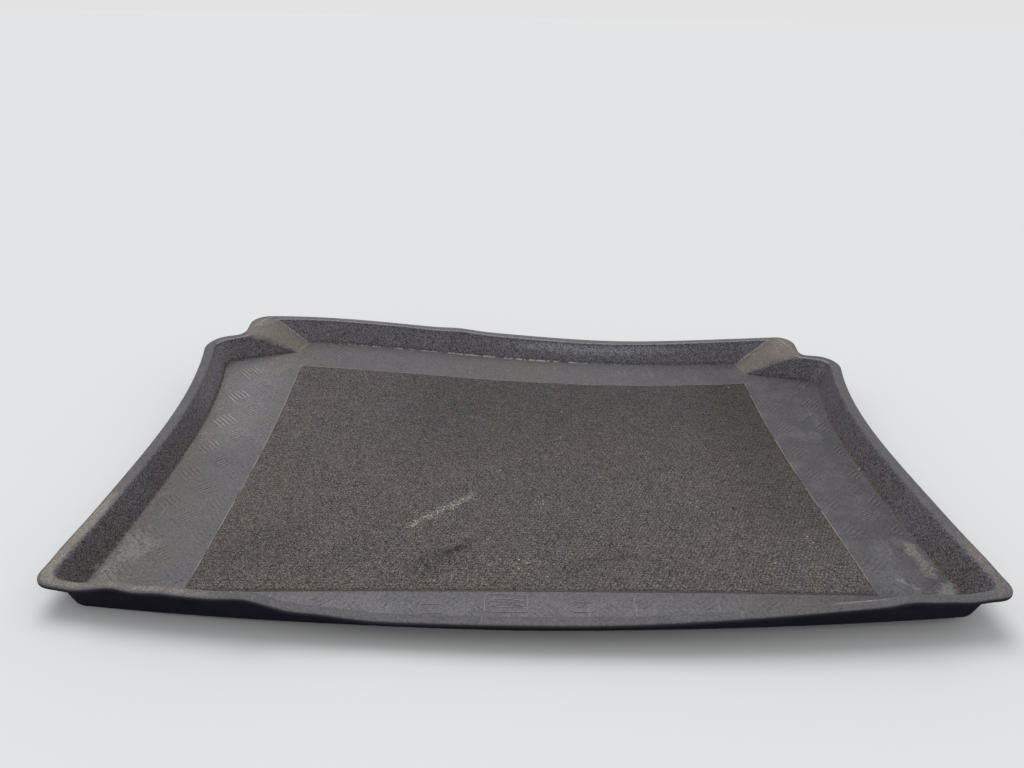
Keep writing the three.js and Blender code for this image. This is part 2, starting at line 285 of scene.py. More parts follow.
# %% Lip height
WALL_HEIGHT = 35
FRONT_HEIGHT = 17
FRONT_TO_SIDE = 60
RISE_LEFT = (129, 300)
RISE_RIGHT = (40, 486)
FRONT_WAVES = ((-456, 18, -3), (-412, 17, 4), (-360, 22, 2), (-273, 18, 3), (-229, 22, -3),
               (386, 17, 3), (450, 22, -3))
BACK_WAVES = ((-112, 30, 2.5), (170, 120, -2.5))


def ease(t):
    """Goes from 0 to 1 with level ends: 3 t squared less 2 t cubed."""
    t = np.clip(t, 0, 1)
    return t * t * (3 - 2 * t)


def between(value, start, end):
    """The eased share of the way from start to end."""
    return ease((value - start) / (end - start))


def away_from_front(y):
    """0 along the loading edge, 1 on the side walls."""
    return ease((y - FRONT_LIP_Y - FRONT_BOW) / FRONT_TO_SIDE)


def at_back(y):
    """1 along the back edge, 0 on the sides and in the steps."""
    return between(y, LIP_STEP_INNER_Y, BACK_LIP_Y - BACK_BOW)


def waves(x, table):
    """A sum of bell curves, each at its own place across the tray."""
    return sum(height * np.exp(-((x - crest) / half) ** 2) for crest, half, height in table)


def lip_height(x, y):
    """Height of the lip over the floor at a point of its inner line, waves added."""
    rise = np.where(x < 0, between(-x, *RISE_LEFT), between(x, *RISE_RIGHT))
    front = FRONT_HEIGHT + (WALL_HEIGHT - FRONT_HEIGHT) * rise
    even = front + (WALL_HEIGHT - front) * away_from_front(y)
    return even + waves(x, FRONT_WAVES) * (1 - away_from_front(y)) + waves(x, BACK_WAVES) * at_back(y)


lip = lip_height(rim_line[:, 0], rim_line[:, 1])
print("lip height from", lip.min().round(1), "to", lip.max().round(1))

# %% [markdown]
# A section across the wall has only five corners: floor, foot of the wall, top
# of the wall, outer edge of the lip and its rolled bottom. On the real moulding
# each corner is rounded by the sheet bending over the tool. So each corner is
# swept with a short curve, at every point of the outline at once. In plan, the
# inner corners of the steps are crisp ridges that soften only near the lip. At
# the back corners the wall's crease runs straight up, so the lip is wide there.

# %% Wall section
SHEET = 3
FOOT_ROUND = 3.5
TOP_ROUND = 4
EDGE_ROUND = 2
HEM_ROUNDS = (1.2, 0.8, 1, 2)
HEM_STEPS = 3
LEG_SHARE = 0.45
RIDGE_SHARE = 0.78
CORNER_REACH = 4
BEAD_LIFT = 0.8
HEM_DEPTH = 5.6
HEM_THICK = 2.8
CURVE_STEPS = 5


def with_z(plan, z):
    """Plan points and their heights as one array of places."""
    return np.column_stack([plan, z])


def swept_corner(before, corner, after, reach, steps=CURVE_STEPS):
    """Rings that round a corner: a parabola between points a reach away on its two legs."""
    into = before - corner
    out = after - corner
    into *= np.minimum(reach / np.linalg.norm(into, axis=1), LEG_SHARE)[:, None]
    out *= np.minimum(reach / np.linalg.norm(out, axis=1), LEG_SHARE)[:, None]
    rings = []
    for t in np.linspace(0, 1, steps):
        rings.append(corner + into * (1 - t) ** 2 + out * t ** 2)
    return rings


def below(corner, leg_in, leg_out, distance):
    """The corner of the sheet's other face: both legs moved by the sheet's thickness.

    A leg is (plan direction, slope angle). Its normal points down and out, and
    the moved corner lies along the sum of both normals.
    """
    normals = []
    for direction, angle in (leg_in, leg_out):
        tilt = np.sin(angle)[:, None] * direction
        tilt[:, 2] = -np.cos(angle)
        normals.append(tilt)
    both = normals[0] + normals[1]
    scale = distance / (1 + np.einsum("ij,ij->i", *normals))
    return corner + both * scale[:, None]


foot = with_z(floor_line, SHEET + floor_height(*floor_line.T))
rim_floor = SHEET + floor_height(*rim_line.T)
rim_top = with_z(rim_line, rim_floor + lip)
lip_width = FRONT_LIP_WIDTH + (LIP_WIDTH - FRONT_LIP_WIDTH) * away_from_front(rim_line[:, 1])
lip_width += CORNER_REACH * near_corner("front_corner", STEPS["front_corner"] / 3)
edge = rim_top + outward * lip_width[:, None]
hem = edge - [0, 0, HEM_DEPTH]

ridge = with_z(ridge_line, rim_top[:, 2])
top = rim_top + (ridge - rim_top) * ease(covered("back"))[:, None]
wall = ridge - foot
run = np.hypot(wall[:, 0], wall[:, 1])
wall_plan = np.column_stack([wall[:, :2] / run[:, None], np.zeros(len(run))])
slope = np.arctan2(wall[:, 2], run)
level = np.zeros(len(run))
foot_below = below(foot, (wall_plan.copy(), level), (wall_plan.copy(), slope), SHEET)
top_below = below(top, (outward.copy(), slope), (outward.copy(), level), SHEET)
hem_inside = edge - outward * HEM_THICK - [0, 0, SHEET]
hem_under = hem - outward * HEM_THICK


def wall_place(t):
    """A ring part of the way up the wall: the ridged line, softened above a share."""
    softness = ease((t - RIDGE_SHARE) / (1 - RIDGE_SHARE))
    return foot + (ridge + (top - ridge) * softness - foot) * t


def wall_place_below(t):
    """The same ring on the outside, moved by as much as the ridge moves the inside."""
    return foot_below + (top_below - foot_below) * t + wall_place(t) - foot - (top - foot) * t


print("wall slope from", np.degrees(slope.min()).round(), "to", np.degrees(slope.max()).round(), "degrees")

# %% [markdown]
# The floor itself runs in rings from the foot of the wall to the mat's edge and
# on to the middle. Every ring knows which finish it carries, as eight numbers
# for each vertex: wall, lip, facet, sheen, wear, dust, chips and under. The
# material reads them, so that wear follows the moulding's own edges wherever
# they run. Loads have also left dusty and polished patches in known places,
# kept as soft blots along short lines. The sheen number is mostly painted light:
# a painted highlight across the back wall and painted light on the back walls.
# On the floor it carries the polished patches.

# %% Tray shell
MAT_WIDTH = 740
MAT_DEPTH = 529
MAT_SHIFT = (6.5, -21.5)
MAT_TURN = radians(0.8)
FLOOR_SHARES = (0.04, 0.2, 0.36, 0.52, 0.68, 0.84)
BORDER_SHARES = tuple(np.linspace(0, 0.92, 12))
WALL_TOP = 0.85
WALL_SHARES = (0.2, 0.35, 0.5, 0.6, 0.7, 0.78, WALL_TOP)
UNDER_WALL_SHARES = (WALL_TOP, 0.7, 0.55, 0.4, 0.2)
UNDER_FOOT_ROUND = 5.5
BEAD_RINGS = ((0.42, 0.3), (0.52, 1), (0.62, 0.3))
LIP_OUTER = 0.78
FINISHES = ("wall", "lip", "facet", "sheen", "worn", "dusty", "chips", "under")
FLOOR_DUST = (((-462, -325), (-450, -205), 44, 0.7), ((-456, -120), (-462, 60), 24, 0.4),
              ((-470, 120), (-480, 215), 30, 0.5), ((-440, 226), (-385, 252), 22, 0.5),
              ((454, -192), (456, -238), 15, 0.8), ((464, -262), (450, -290), 13, 0.88),
              ((412, -250), (428, -268), 10, 0.7), ((468, -100), (474, 120), 14, 0.4),
              ((330, 285), (-330, 300), 12, 0.2))
FLOOR_POLISH = (((-430, 60), (-430, 215), 55, 0.22), ((-380, -320), (-150, -325), 30, 0.26),
                ((-150, -325), (300, -325), 26, 0.14), ((410, -300), (405, -220), 22, 0.14))
WALL_WASH = (((-500, 130), (-500, 235), 45, 0.28),)
LIP_DUST = (((-500, -335), (-480, -180), 40, 0.95), ((-495, -305), (-330, -326), 26, 0.7),
            ((496, -322), (484, -240), 26, 0.6))
LIP_SCRAPE = (((318, -325), (362, -321), 4, 1.0),)
BLEND = (0.35, 0.65)
BACK_FADE = 12
VALLEY_POINTS = 1.3
CHIPS_LEFT, CHIPS_REACH = 130, (-320, -200)
CHIPS_THIN, CHIPS_THICK = 0.2, 0.6
# Painted highlight on the back wall: its place across, half width, peak, height on the wall and band.
SHEEN_PLACE, SHEEN_HALF, SHEEN_PEAK = 130, 190, 0.8
SHEEN_HEIGHT, SHEEN_BAND = 0.68, 0.26
PAINTED_BACK_LIGHT = 0.2
EDGE_DUST, CREASE_DUST, FACET_DUST = 0.2, 0.4, 0.25
UPPER_WALL, UPPER_WALL_LIP = 0.6, 0.35
LIP_WEAR, BEAD_WEAR, EDGE_WEAR = 0.8, 0.7, 0.3


def blots(x, y, table):
    """The strongest of several soft blots: a bell curve of the distance to a line."""
    total = np.zeros(np.shape(x))
    for start, end, radius, strength in table:
        start, end = np.array(start, float), np.array(end, float)
        leg = end - start
        share = np.clip(((x - start[0]) * leg[0] + (y - start[1]) * leg[1]) / (leg @ leg), 0, 1)
        gap = np.hypot(x - start[0] - leg[0] * share, y - start[1] - leg[1] * share)
        total = np.maximum(total, strength * np.exp(-(gap / radius) ** 2))
    return total


def mat_place(u, v):
    """Place in plan of shares u and v of the mat's width and depth from its middle."""
    dx, dy = MAT_WIDTH * u, MAT_DEPTH * v
    c, s = np.cos(MAT_TURN), np.sin(MAT_TURN)
    return np.stack([MAT_SHIFT[0] + dx * c - dy * s, MAT_SHIFT[1] + dx * s + dy * c], axis=-1)


def mat_shares(x, y):
    """The shares of the mat's width and depth at a place in plan."""
    dx, dy = x - MAT_SHIFT[0], y - MAT_SHIFT[1]
    c, s = np.cos(MAT_TURN), np.sin(MAT_TURN)
    return (dx * c + dy * s) / MAT_WIDTH, (dy * c - dx * s) / MAT_DEPTH


def mat_edge_towards(plan):
    """Where lines from the mat's middle to the given points leave the mat."""
    u, v = mat_shares(*plan.T)
    reach = 0.5 / np.maximum(np.abs(u), np.abs(v))
    return mat_place(u * reach, v * reach)


rings = []
finish = []


def add_ring(places, **values):
    """Keeps one ring of the shell with its finish numbers, one for all or one a point."""
    rings.append(places)
    finish.append([np.broadcast_to(values.get(name, 0), around) for name in FINISHES])


mat_edge = mat_edge_towards(floor_line)
middle = mat_place(0, 0)
border_end = foot - wall_plan * FOOT_ROUND


def floor_ring(plan, lift):
    """A ring of the floor, lifted by the sheet's thickness or not at all."""
    return with_z(plan, floor_height(*plan.T) + lift)


def passed(name):
    """0 before the middle of a stretch and 1 after it, with a short blend."""
    return between(covered(name), *BLEND)


facet = passed("step_inner") * (1 - passed("back_corner"))
steep = 1 - facet
back = at_back(rim_line[:, 1])
back_line = between(rim_line[:, 1], LIP_STEP_OUTER_Y - BACK_FADE, LIP_STEP_OUTER_Y)
sides_only = 1 - back_line
valley = near_corner("back_corner", VALLEY_POINTS)
chipped = back * (CHIPS_THIN + CHIPS_THICK * between(-abs(rim_line[:, 0] + CHIPS_LEFT), *CHIPS_REACH))
# Painted highlight: a sheen across the middle of the back wall, high up.
sheen = SHEEN_PEAK * back * np.exp(-((rim_line[:, 0] - SHEEN_PLACE) / SHEEN_HALF) ** 2)
# Painted light: the back walls are lightened, which the sun from behind leaves too dark, and a patch on the
# left wall near the back is lightened too.
painted_wall_light = np.maximum(PAINTED_BACK_LIGHT * back_line, blots(*rim_line.T, WALL_WASH)) * steep
lip_dust = blots(*rim_line.T, LIP_DUST)
lip_scrape = blots(*rim_line.T, LIP_SCRAPE)
lip_beige = np.maximum(facet, lip_dust)
foot_dust = blots(*foot[:, :2].T, FLOOR_DUST)
curve = np.linspace(0, 1, CURVE_STEPS)

for share in FLOOR_SHARES:
    add_ring(floor_ring(middle + (mat_edge - middle) * share, SHEET))
for share in BORDER_SHARES:
    plan = mat_edge + (border_end[:, :2] - mat_edge) * share
    add_ring(floor_ring(plan, SHEET), dusty=blots(*plan.T, FLOOR_DUST) + EDGE_DUST * share ** 3,
             sheen=blots(*plan.T, FLOOR_POLISH))
for t, places in zip(curve, swept_corner(border_end, foot, ridge, FOOT_ROUND)):
    crease = 1 - abs(2 * t - 1)
    add_ring(places, wall=steep * ease(t * 2 - 0.5), dusty=np.maximum(foot_dust, CREASE_DUST * crease),
             facet=facet * ease(t * 2), chips=chipped * crease)
for t in WALL_SHARES:
    add_ring(wall_place(t), wall=steep, facet=facet,
             lip=UPPER_WALL_LIP * between(t, UPPER_WALL, WALL_TOP) * sides_only,
             sheen=np.maximum(sheen * np.exp(-((t - SHEEN_HEIGHT) / SHEEN_BAND) ** 2), painted_wall_light),
             worn=valley, dusty=FACET_DUST * (1 - steep) + CREASE_DUST * foot_dust * steep)
for t, places in zip(curve, swept_corner(wall_place(WALL_TOP), top, edge, TOP_ROUND)):
    crease = 1 - abs(2 * t - 1)
    turned = ease(t * 1.4)
    add_ring(places, wall=steep * (1 - turned), lip=np.maximum(turned, UPPER_WALL_LIP * sides_only),
             facet=np.maximum(facet, lip_dust * t),
             worn=np.maximum((LIP_WEAR * back_line * steep + lip_scrape) * crease, valley * (1 - t)),
             dusty=FACET_DUST * (1 - steep) * (1 - t) + lip_dust * t)
for share, lift in BEAD_RINGS:
    add_ring(top + (edge - top) * share + [0, 0, BEAD_LIFT * lift] * back[:, None], lip=1,
             facet=lip_beige, worn=BEAD_WEAR * back * (lift == 1), dusty=lip_dust)
add_ring(top + (edge - top) * LIP_OUTER, lip=1, facet=0.8 * lip_beige, dusty=lip_dust)
for t, places in zip(curve, swept_corner(top, edge, hem, EDGE_ROUND)):
    add_ring(places, lip=1 - 0.8 * t, facet=0.5 * lip_beige * (1 - t), under=0.75 * t,
             worn=EDGE_WEAR * sides_only * (1 - abs(2 * t - 1)))
hem_path = (edge, hem, hem_under, hem_inside, top_below, foot_below)
for *corner, reach in zip(hem_path, hem_path[1:], hem_path[2:], HEM_ROUNDS):
    for places in swept_corner(*corner, reach, HEM_STEPS):
        add_ring(places, under=1)
for t in UNDER_WALL_SHARES:
    add_ring(wall_place_below(t), under=1)
under_end = with_z(border_end[:, :2], floor_height(*border_end[:, :2].T))
for places in swept_corner(wall_place_below(UNDER_WALL_SHARES[-1]), foot_below, under_end, UNDER_FOOT_ROUND):
    lowest = floor_height(places[:, 0], places[:, 1])
    add_ring(with_z(places[:, :2], np.maximum(places[:, 2], lowest)), under=1)
for share in reversed(BORDER_SHARES):
    add_ring(floor_ring(mat_edge + (border_end[:, :2] - mat_edge) * share, 0), under=1)
for share in reversed(FLOOR_SHARES):
    add_ring(floor_ring(middle + (mat_edge - middle) * share, 0), under=1)

ring_count = len(rings)
print("rings", ring_count, "points round", around)

# %% [markdown]
# The rings are joined into one closed skin. Each pair of neighbours gives a
# band of four-sided faces, and a fan closes the skin in the middle, above and
# below. All of it is index arithmetic on whole arrays.

# %% Skin helpers
def band_faces(first, second, count):
    """Faces between two closed rings whose vertices start at the given indices."""
    i = np.arange(count)
    j = (i + 1) % count
    return np.column_stack([first + i, second + i, second + j, first + j])


def new_piece(name, places, quads, triangles=None):
    """A mesh object from places in millimetres and faces as index arrays."""
    mesh = bpy.data.meshes.new(name)
    loops = quads.ravel()
    starts = np.arange(0, len(loops), 4)
    totals = np.full(len(quads), 4)
    if triangles is not None:
        starts = np.concatenate([starts, len(loops) + np.arange(0, triangles.size, 3)])
        totals = np.concatenate([totals, np.full(len(triangles), 3)])
        loops = np.concatenate([loops, triangles.ravel()])
    mesh.vertices.add(len(places))
    mesh.vertices.foreach_set("co", (places * MM).astype(np.float32).ravel())
    mesh.loops.add(len(loops))
    mesh.loops.foreach_set("vertex_index", loops.astype(np.int32))
    mesh.polygons.add(len(starts))
    mesh.polygons.foreach_set("loop_start", starts.astype(np.int32))
    mesh.polygons.foreach_set("loop_total", totals.astype(np.int32))
    mesh.update(calc_edges=True)
    mesh.validate()
    mesh.shade_smooth()
    piece = bpy.data.objects.new(name, mesh)
    bpy.context.scene.collection.objects.link(piece)
    print(name, "vertices", len(mesh.vertices), "faces", len(mesh.polygons))
    return piece


def tube_faces(stations, points, closed=False):
    """Faces between the neighbouring sections of a tube, the last joined to the first if closed."""
    s, k = np.meshgrid(np.arange(stations - (not closed)), np.arange(points), indexing="ij")
    here, there = s * points, (s + 1) % stations * points
    k_next = (k + 1) % points
    return np.stack([here + k, there + k, there + k_next, here + k_next], axis=-1).reshape(-1, 4)


def repeated(faces, copies, step):
    """The same faces for each of several copies, whose vertices lie a step apart."""
    return (faces[None] + (np.arange(copies) * step)[:, None, None]).reshape(-1, 4)


def give_attribute(piece, name, values):
    """Stores one number for each vertex under a name that a material can read."""
    layer = piece.data.attributes.new(name, "FLOAT", "POINT")
    layer.data.foreach_set("value", np.asarray(values, np.float32).ravel())

# %% [markdown]
# The rings are stacked and joined by bands of four-sided faces, and a fan round
# the middle of the floor closes each side of the sheet. The finish numbers are
# then stored on the vertices.

# %% Build the tray shell
shell_places = np.vstack(rings)
quads = np.vstack([band_faces(r * around, (r + 1) * around, around) for r in range(ring_count - 1)])
centre_top = len(shell_places)
lift = floor_height(*middle)
shell_places = np.vstack([shell_places, [[*middle, SHEET + lift], [*middle, lift]]])
i = np.arange(around)
j = (i + 1) % around
last = (ring_count - 1) * around
fans = np.vstack([
    np.column_stack([i, j, np.full(around, centre_top)]),
    np.column_stack([last + j, last + i, np.full(around, centre_top + 1)]),
])
tray = new_piece("tray_shell", shell_places, quads, fans)
for column, name in enumerate(FINISHES):
    values = np.concatenate([ring[column] for ring in finish])
    give_attribute(tray, name, np.append(values, [0, name == "under"]))
low, high = shell_places.min(axis=0), shell_places.max(axis=0)
print("shell from", low.round(1), "to", high.round(1))

# %% [markdown]
# The border of the floor carries a tread: groups of five short raised bars,
# each group turned a quarter against its neighbours, as on checker plate. The
# bars are real geometry, because low light rakes across them. One bar is a
# tube of six-sided rings that swells from a tapered end, and all bars are
# computed together. Use has worn them down towards the mat and the loading
# edge, and their tops are a little paler from wear. At the left back, and
# faintly on the right, a painted glint lights the bar tops.

# %% Tread bars
TREAD_PITCH = 67
TREAD_START = (-441, 77)
TREAD_REACH = 30
BAR_SAMPLES = 25
BARS_IN_GROUP = 5
BAR_SPACING = 5.8
BAR_LENGTH = 31
BAR_WIDTH = 3.8
BAR_HEIGHT = 0.8
BAR_MARGIN = 4
BAR_STATIONS = 7
SHORTEST_BAR = 8
BAR_WEAR = 0.22
# Where a painted glint lights the bar tops: strong at the left back, faint on the right.
PAINTED_GLINT_BARS = (((-440, 40), (-445, 215), 50, 1.0), ((440, 60), (450, -160), 34, 0.2))
WORN_DOWN = 45
LEFT_BY_MAT, LEFT_AT_FRONT = 0.3, 0.35
FRONT_WEAR = (-300, -50)
BAR_TIP = 0.06
BAR_BLUNTNESS = 0.35
BAR_PROFILE = np.array([[-0.5, -0.3], [-0.3, 0.65], [-0.1, 1], [0.1, 1], [0.3, 0.65], [0.5, -0.3]])


def tread_bars_in_plan():
    """Middle points and directions of every bar over the whole plan.

    Groups lie on a square net turned by 45 degrees, and a chessboard rule
    turns every second one.
    """
    reach = np.arange(-TREAD_REACH, TREAD_REACH + 1)
    a, b = (g.ravel() for g in np.meshgrid(reach, reach))
    keep = (a + b) % 2 == 0
    a, b = a[keep], b[keep]
    groups = np.column_stack([a, b]) * TREAD_PITCH / 2 + TREAD_START
    turned = a % 2
    angle = np.where(turned == 0, -np.pi / 4, np.pi / 4)
    direction = np.column_stack([np.cos(angle), np.sin(angle)])
    across = np.column_stack([-direction[:, 1], direction[:, 0]])
    offset = (np.arange(BARS_IN_GROUP) - (BARS_IN_GROUP - 1) / 2) * BAR_SPACING
    middles = groups[:, None] + across[:, None] * offset[None, :, None]
    return middles.reshape(-1, 2), np.repeat(direction, BARS_IN_GROUP, axis=0)


def inside_outline(points, outline):
    """True where a point lies inside a closed outline: it crosses it an odd number of times."""
    x, y = points[..., 0][..., None], points[..., 1][..., None]
    x0, y0 = outline.T
    x1, y1 = np.roll(outline, -1, axis=0).T
    spans = (y0 > y) != (y1 > y)
    crossing = x0 + (y - y0) * (x1 - x0) / np.where(y1 == y0, 1, y1 - y0)
    return (spans & (x < crossing)).sum(axis=-1) % 2 == 1


inner_line = floor_line - wall_plan[:, :2] * BAR_MARGIN
middles, directions = tread_bars_in_plan()
near = (np.abs(middles[:, 0]) < TRAY_HALF) & (np.abs(middles[:, 1]) < BACK_LIP_Y)
middles, directions = middles[near], directions[near]
samples = np.linspace(-0.5, 0.5, BAR_SAMPLES)
track = middles[:, None] + directions[:, None] * (samples * BAR_LENGTH)[None, :, None]
u, v = mat_shares(track[..., 0], track[..., 1])
off_mat = (np.abs(u) > 0.5 + BAR_MARGIN / MAT_WIDTH) | (np.abs(v) > 0.5 + BAR_MARGIN / MAT_DEPTH)
free = off_mat & inside_outline(track, inner_line)
first = np.where(free.any(axis=1), free.argmax(axis=1), 0)
last_free = len(samples) - 1 - free[:, ::-1].argmax(axis=1)
start, end = samples[first], samples[last_free]
whole = free.sum(axis=1) == last_free - first + 1
long_enough = (end - start) * BAR_LENGTH > SHORTEST_BAR
keep = whole & long_enough & free.any(axis=1)
middles, directions, start, end = middles[keep], directions[keep], start[keep], end[keep]
print("tread bars", len(middles))

station = np.linspace(0, 1, BAR_STATIONS)
swell = np.sin(np.pi * np.clip(station, BAR_TIP, 1 - BAR_TIP)) ** BAR_BLUNTNESS
across = np.column_stack([-directions[:, 1], directions[:, 0]])
share = start[:, None] + (end - start)[:, None] * station[None]
spine = middles[:, None] + directions[:, None] * (share * BAR_LENGTH)[..., None]
shift = BAR_PROFILE[:, 0] * BAR_WIDTH
half_span = shift[None, None, :, None] * swell[None, :, None, None]
plan = spine[:, :, None] + across[:, None, None] * half_span
u, v = mat_shares(*middles.T)
from_mat = np.maximum((np.abs(u) - 0.5) * MAT_WIDTH, (np.abs(v) - 0.5) * MAT_DEPTH)
left = LEFT_BY_MAT + (1 - LEFT_BY_MAT) * ease(from_mat / WORN_DOWN)
left *= LEFT_AT_FRONT + (1 - LEFT_AT_FRONT) * between(middles[:, 1], *FRONT_WEAR)
rise = BAR_PROFILE[:, 1][None, None] * (BAR_HEIGHT * left[:, None, None]) * (swell ** 3)[None, :, None]
z = floor_height(plan[..., 0], plan[..., 1]) + SHEET + rise
bar_places = np.concatenate([plan, z[..., None]], axis=-1).reshape(-1, 3)

sides = len(BAR_PROFILE)
caps = np.array([[0, 1, 2, 5], [2, 3, 4, 5]])
end_caps = caps[:, ::-1] + (BAR_STATIONS - 1) * sides
one_bar = np.vstack([tube_faces(BAR_STATIONS, sides), caps, end_caps])
bars = new_piece("tread_bars", bar_places, repeated(one_bar, len(middles), BAR_STATIONS * sides))
# The tops are paler from wear, and where the glint blots lie a painted glint lights them.
top_wear_and_glint = np.maximum(BAR_WEAR * left, blots(*middles.T, PAINTED_GLINT_BARS))
on_top = np.clip(BAR_PROFILE[:, 1], 0, 1)[None, None] * np.ones((1, BAR_STATIONS, 1))
give_attribute(bars, "worn", top_wear_and_glint[:, None, None] * on_top)
give_attribute(bars, "dusty", np.repeat(blots(*middles.T, FLOOR_DUST), BAR_STATIONS * sides))

# %% [markdown]
# Three plain raised frames sit in the front strip. Each is a thin bead carried
# round a rounded rectangle, and the larger one holds two plain bars.

# %% Plain raised marks
MARKS = (((-93, -315), (25, 14)), ((-16, -305), (45, 27)), ((63, -309), (24, 16)))
MARK_BARS = (((-16, -301), (34, 4)), ((-16, -309), (34, 4)))
MARK_CORNER = 2.5
BEAD_WIDTH = 1.4
BEAD_HEIGHT = 0.7
BEAD_POINTS = 48
BEAD_RUB = 0.8


def rounded_rectangle(centre, size, radius, count):
    """Evenly indexed points round a superellipse, which is a rectangle with round corners."""
    angle = np.arange(count) / count * 2 * np.pi
    power = 2 * radius / min(size)
    x = np.sign(np.cos(angle)) * np.abs(np.cos(angle)) ** power * size[0] / 2
    y = np.sign(np.sin(angle)) * np.abs(np.sin(angle)) ** power * size[1] / 2
    return np.column_stack([x, y]) + centre


def bead(path):
    """A closed bead along a path in plan: the bar's low arch at each point of the path."""
    ahead = np.roll(path, -1, axis=0) - np.roll(path, 1, axis=0)
    ahead /= np.linalg.norm(ahead, axis=1)[:, None]
    across = np.column_stack([ahead[:, 1], -ahead[:, 0]])
    plan = path[:, None] + across[:, None] * (-BAR_PROFILE[:, 0] * BEAD_WIDTH)[None, :, None]
    z = floor_height(plan[..., 0], plan[..., 1]) + SHEET + BAR_PROFILE[:, 1] * BEAD_HEIGHT
    return np.concatenate([plan, z[..., None]], axis=-1)


beads = [bead(rounded_rectangle(*mark, MARK_CORNER, BEAD_POINTS)) for mark in MARKS + MARK_BARS]
bead_quads = repeated(tube_faces(BEAD_POINTS, sides, closed=True), len(beads), BEAD_POINTS * sides)
marks = new_piece("plain_marks", np.concatenate(beads).reshape(-1, 3), bead_quads)
give_attribute(marks, "worn", np.tile(BEAD_RUB * on_top[0, 0], len(beads) * BEAD_POINTS))

# %% [markdown]
# The mat is a sheet of rubber with rows of small pimples, each row shifted half
# a pitch against the last. A height field on a grid of half the pitch gives
# them: one grid point in four is raised. Wear has lowered each by a different
# amount, which random numbers from a fixed seed repeat. The sheet thins towards
# its cut edge, so that it lies nearly flush with the tray.

# %% Anti-slip mat
MAT_THICKNESS = 2
MAT_GAP = 0.3
PIMPLE_PITCH = 4.6
PIMPLE_HEIGHT = 0.7
MAT_MARGIN = 3.5
EDGE_THICKNESS = 0.25
LEAST_TIP = 0.45
BOND_SHARE = 0.2
SEED = 7

columns = int(round(MAT_WIDTH / (PIMPLE_PITCH / 2)))
rows = int(round(MAT_DEPTH / (PIMPLE_PITCH / 2)))
u, v = np.meshgrid(np.linspace(-0.5, 0.5, columns + 1), np.linspace(-0.5, 0.5, rows + 1))
from_edge = np.minimum((0.5 - np.abs(u)) * MAT_WIDTH, (0.5 - np.abs(v)) * MAT_DEPTH)
column, row = np.meshgrid(np.arange(columns + 1), np.arange(rows + 1))
staggered = (row % 2 == 0) & ((column + row // 2) % 2 == 0)
chance = np.random.default_rng(SEED)
tips = staggered * (from_edge > MAT_MARGIN) * chance.uniform(LEAST_TIP, 1, staggered.shape)
mat_plan = mat_place(u, v)
base = floor_height(mat_plan[..., 0], mat_plan[..., 1]) + SHEET + MAT_GAP
flank = ease(from_edge / MAT_MARGIN)
sheet_top = EDGE_THICKNESS + (MAT_THICKNESS - PIMPLE_HEIGHT - EDGE_THICKNESS) * flank
mat_top = np.concatenate([mat_plan, (base + sheet_top + PIMPLE_HEIGHT * tips)[..., None]], axis=-1)
print("mat grid", columns, "by", rows, "pimples", int((tips > 0).sum()))


def grid_faces(columns, rows):
    """Upward four-sided faces of a grid whose vertices run along its rows first."""
    c, r = (g.ravel() for g in np.meshgrid(np.arange(columns), np.arange(rows)))
    a = r * (columns + 1) + c
    return np.column_stack([a, a + 1, a + columns + 2, a + columns + 1])


def grid_rim(columns, rows):
    """Indices of a grid's outer vertices, anticlockwise from its first corner."""
    across = columns + 1
    front = np.arange(columns)
    right = columns + across * np.arange(rows)
    back = rows * across + np.arange(columns, 0, -1)
    left = across * np.arange(rows, 0, -1)
    return np.concatenate([front, right, back, left])


rim = grid_rim(columns, rows)
rim_low = (columns + 1) * (rows + 1) + np.arange(len(rim))
bonded = base - (1 - BOND_SHARE) * MAT_GAP
rim_place = np.concatenate([mat_plan, bonded[..., None]], axis=-1).reshape(-1, 3)[rim]
after = np.roll(np.arange(len(rim)), -1)
skirt = np.column_stack([rim, rim_low, rim_low[after], rim[after]])
print("points round the mat", len(rim))

# %% [markdown]
# The underside is hidden, so it is closed with a few rings that shrink to the
# middle and follow the floor's spring at the bonding gap.

# %% Close the mat from below
UNDER_SHARES = (0.84, 0.68, 0.52, 0.36, 0.2, 0.08)
mat_middle = mat_place(0, 0)
under_rings = [rim_place]
for share in UNDER_SHARES:
    plan = mat_middle + (rim_place[:, :2] - mat_middle) * share
    under_rings.append(floor_ring(plan, SHEET + MAT_GAP))
centre = [[*mat_middle, floor_height(*mat_middle) + SHEET + MAT_GAP]]
mat_places = np.vstack([mat_top.reshape(-1, 3), *under_rings, centre])
first = rim_low[0]
under_bands = [band_faces(first + k * len(rim), first + (k + 1) * len(rim), len(rim))
               for k in range(len(UNDER_SHARES))]
inner = first + len(UNDER_SHARES) * len(rim)
fan = np.column_stack([inner + after, inner + np.arange(len(rim)), np.full(len(rim), len(mat_places) - 1)])
mat_quads = np.vstack([grid_faces(columns, rows), skirt, *under_bands])
mat = new_piece("floor_mat", mat_places, mat_quads, fan)

# %% [markdown]
# The mat's dirt lies in known places: a pale drag mark, a few dusty patches, a
# brown stain and dark scuffs. Each is a soft blot along a short line, kept as
# one number for each vertex. The material breaks the blots up later, so that
# no soft edge shows. The sheet is also painted darker towards the back and the
# right, as painted shade, and its tone is cooler at the back.

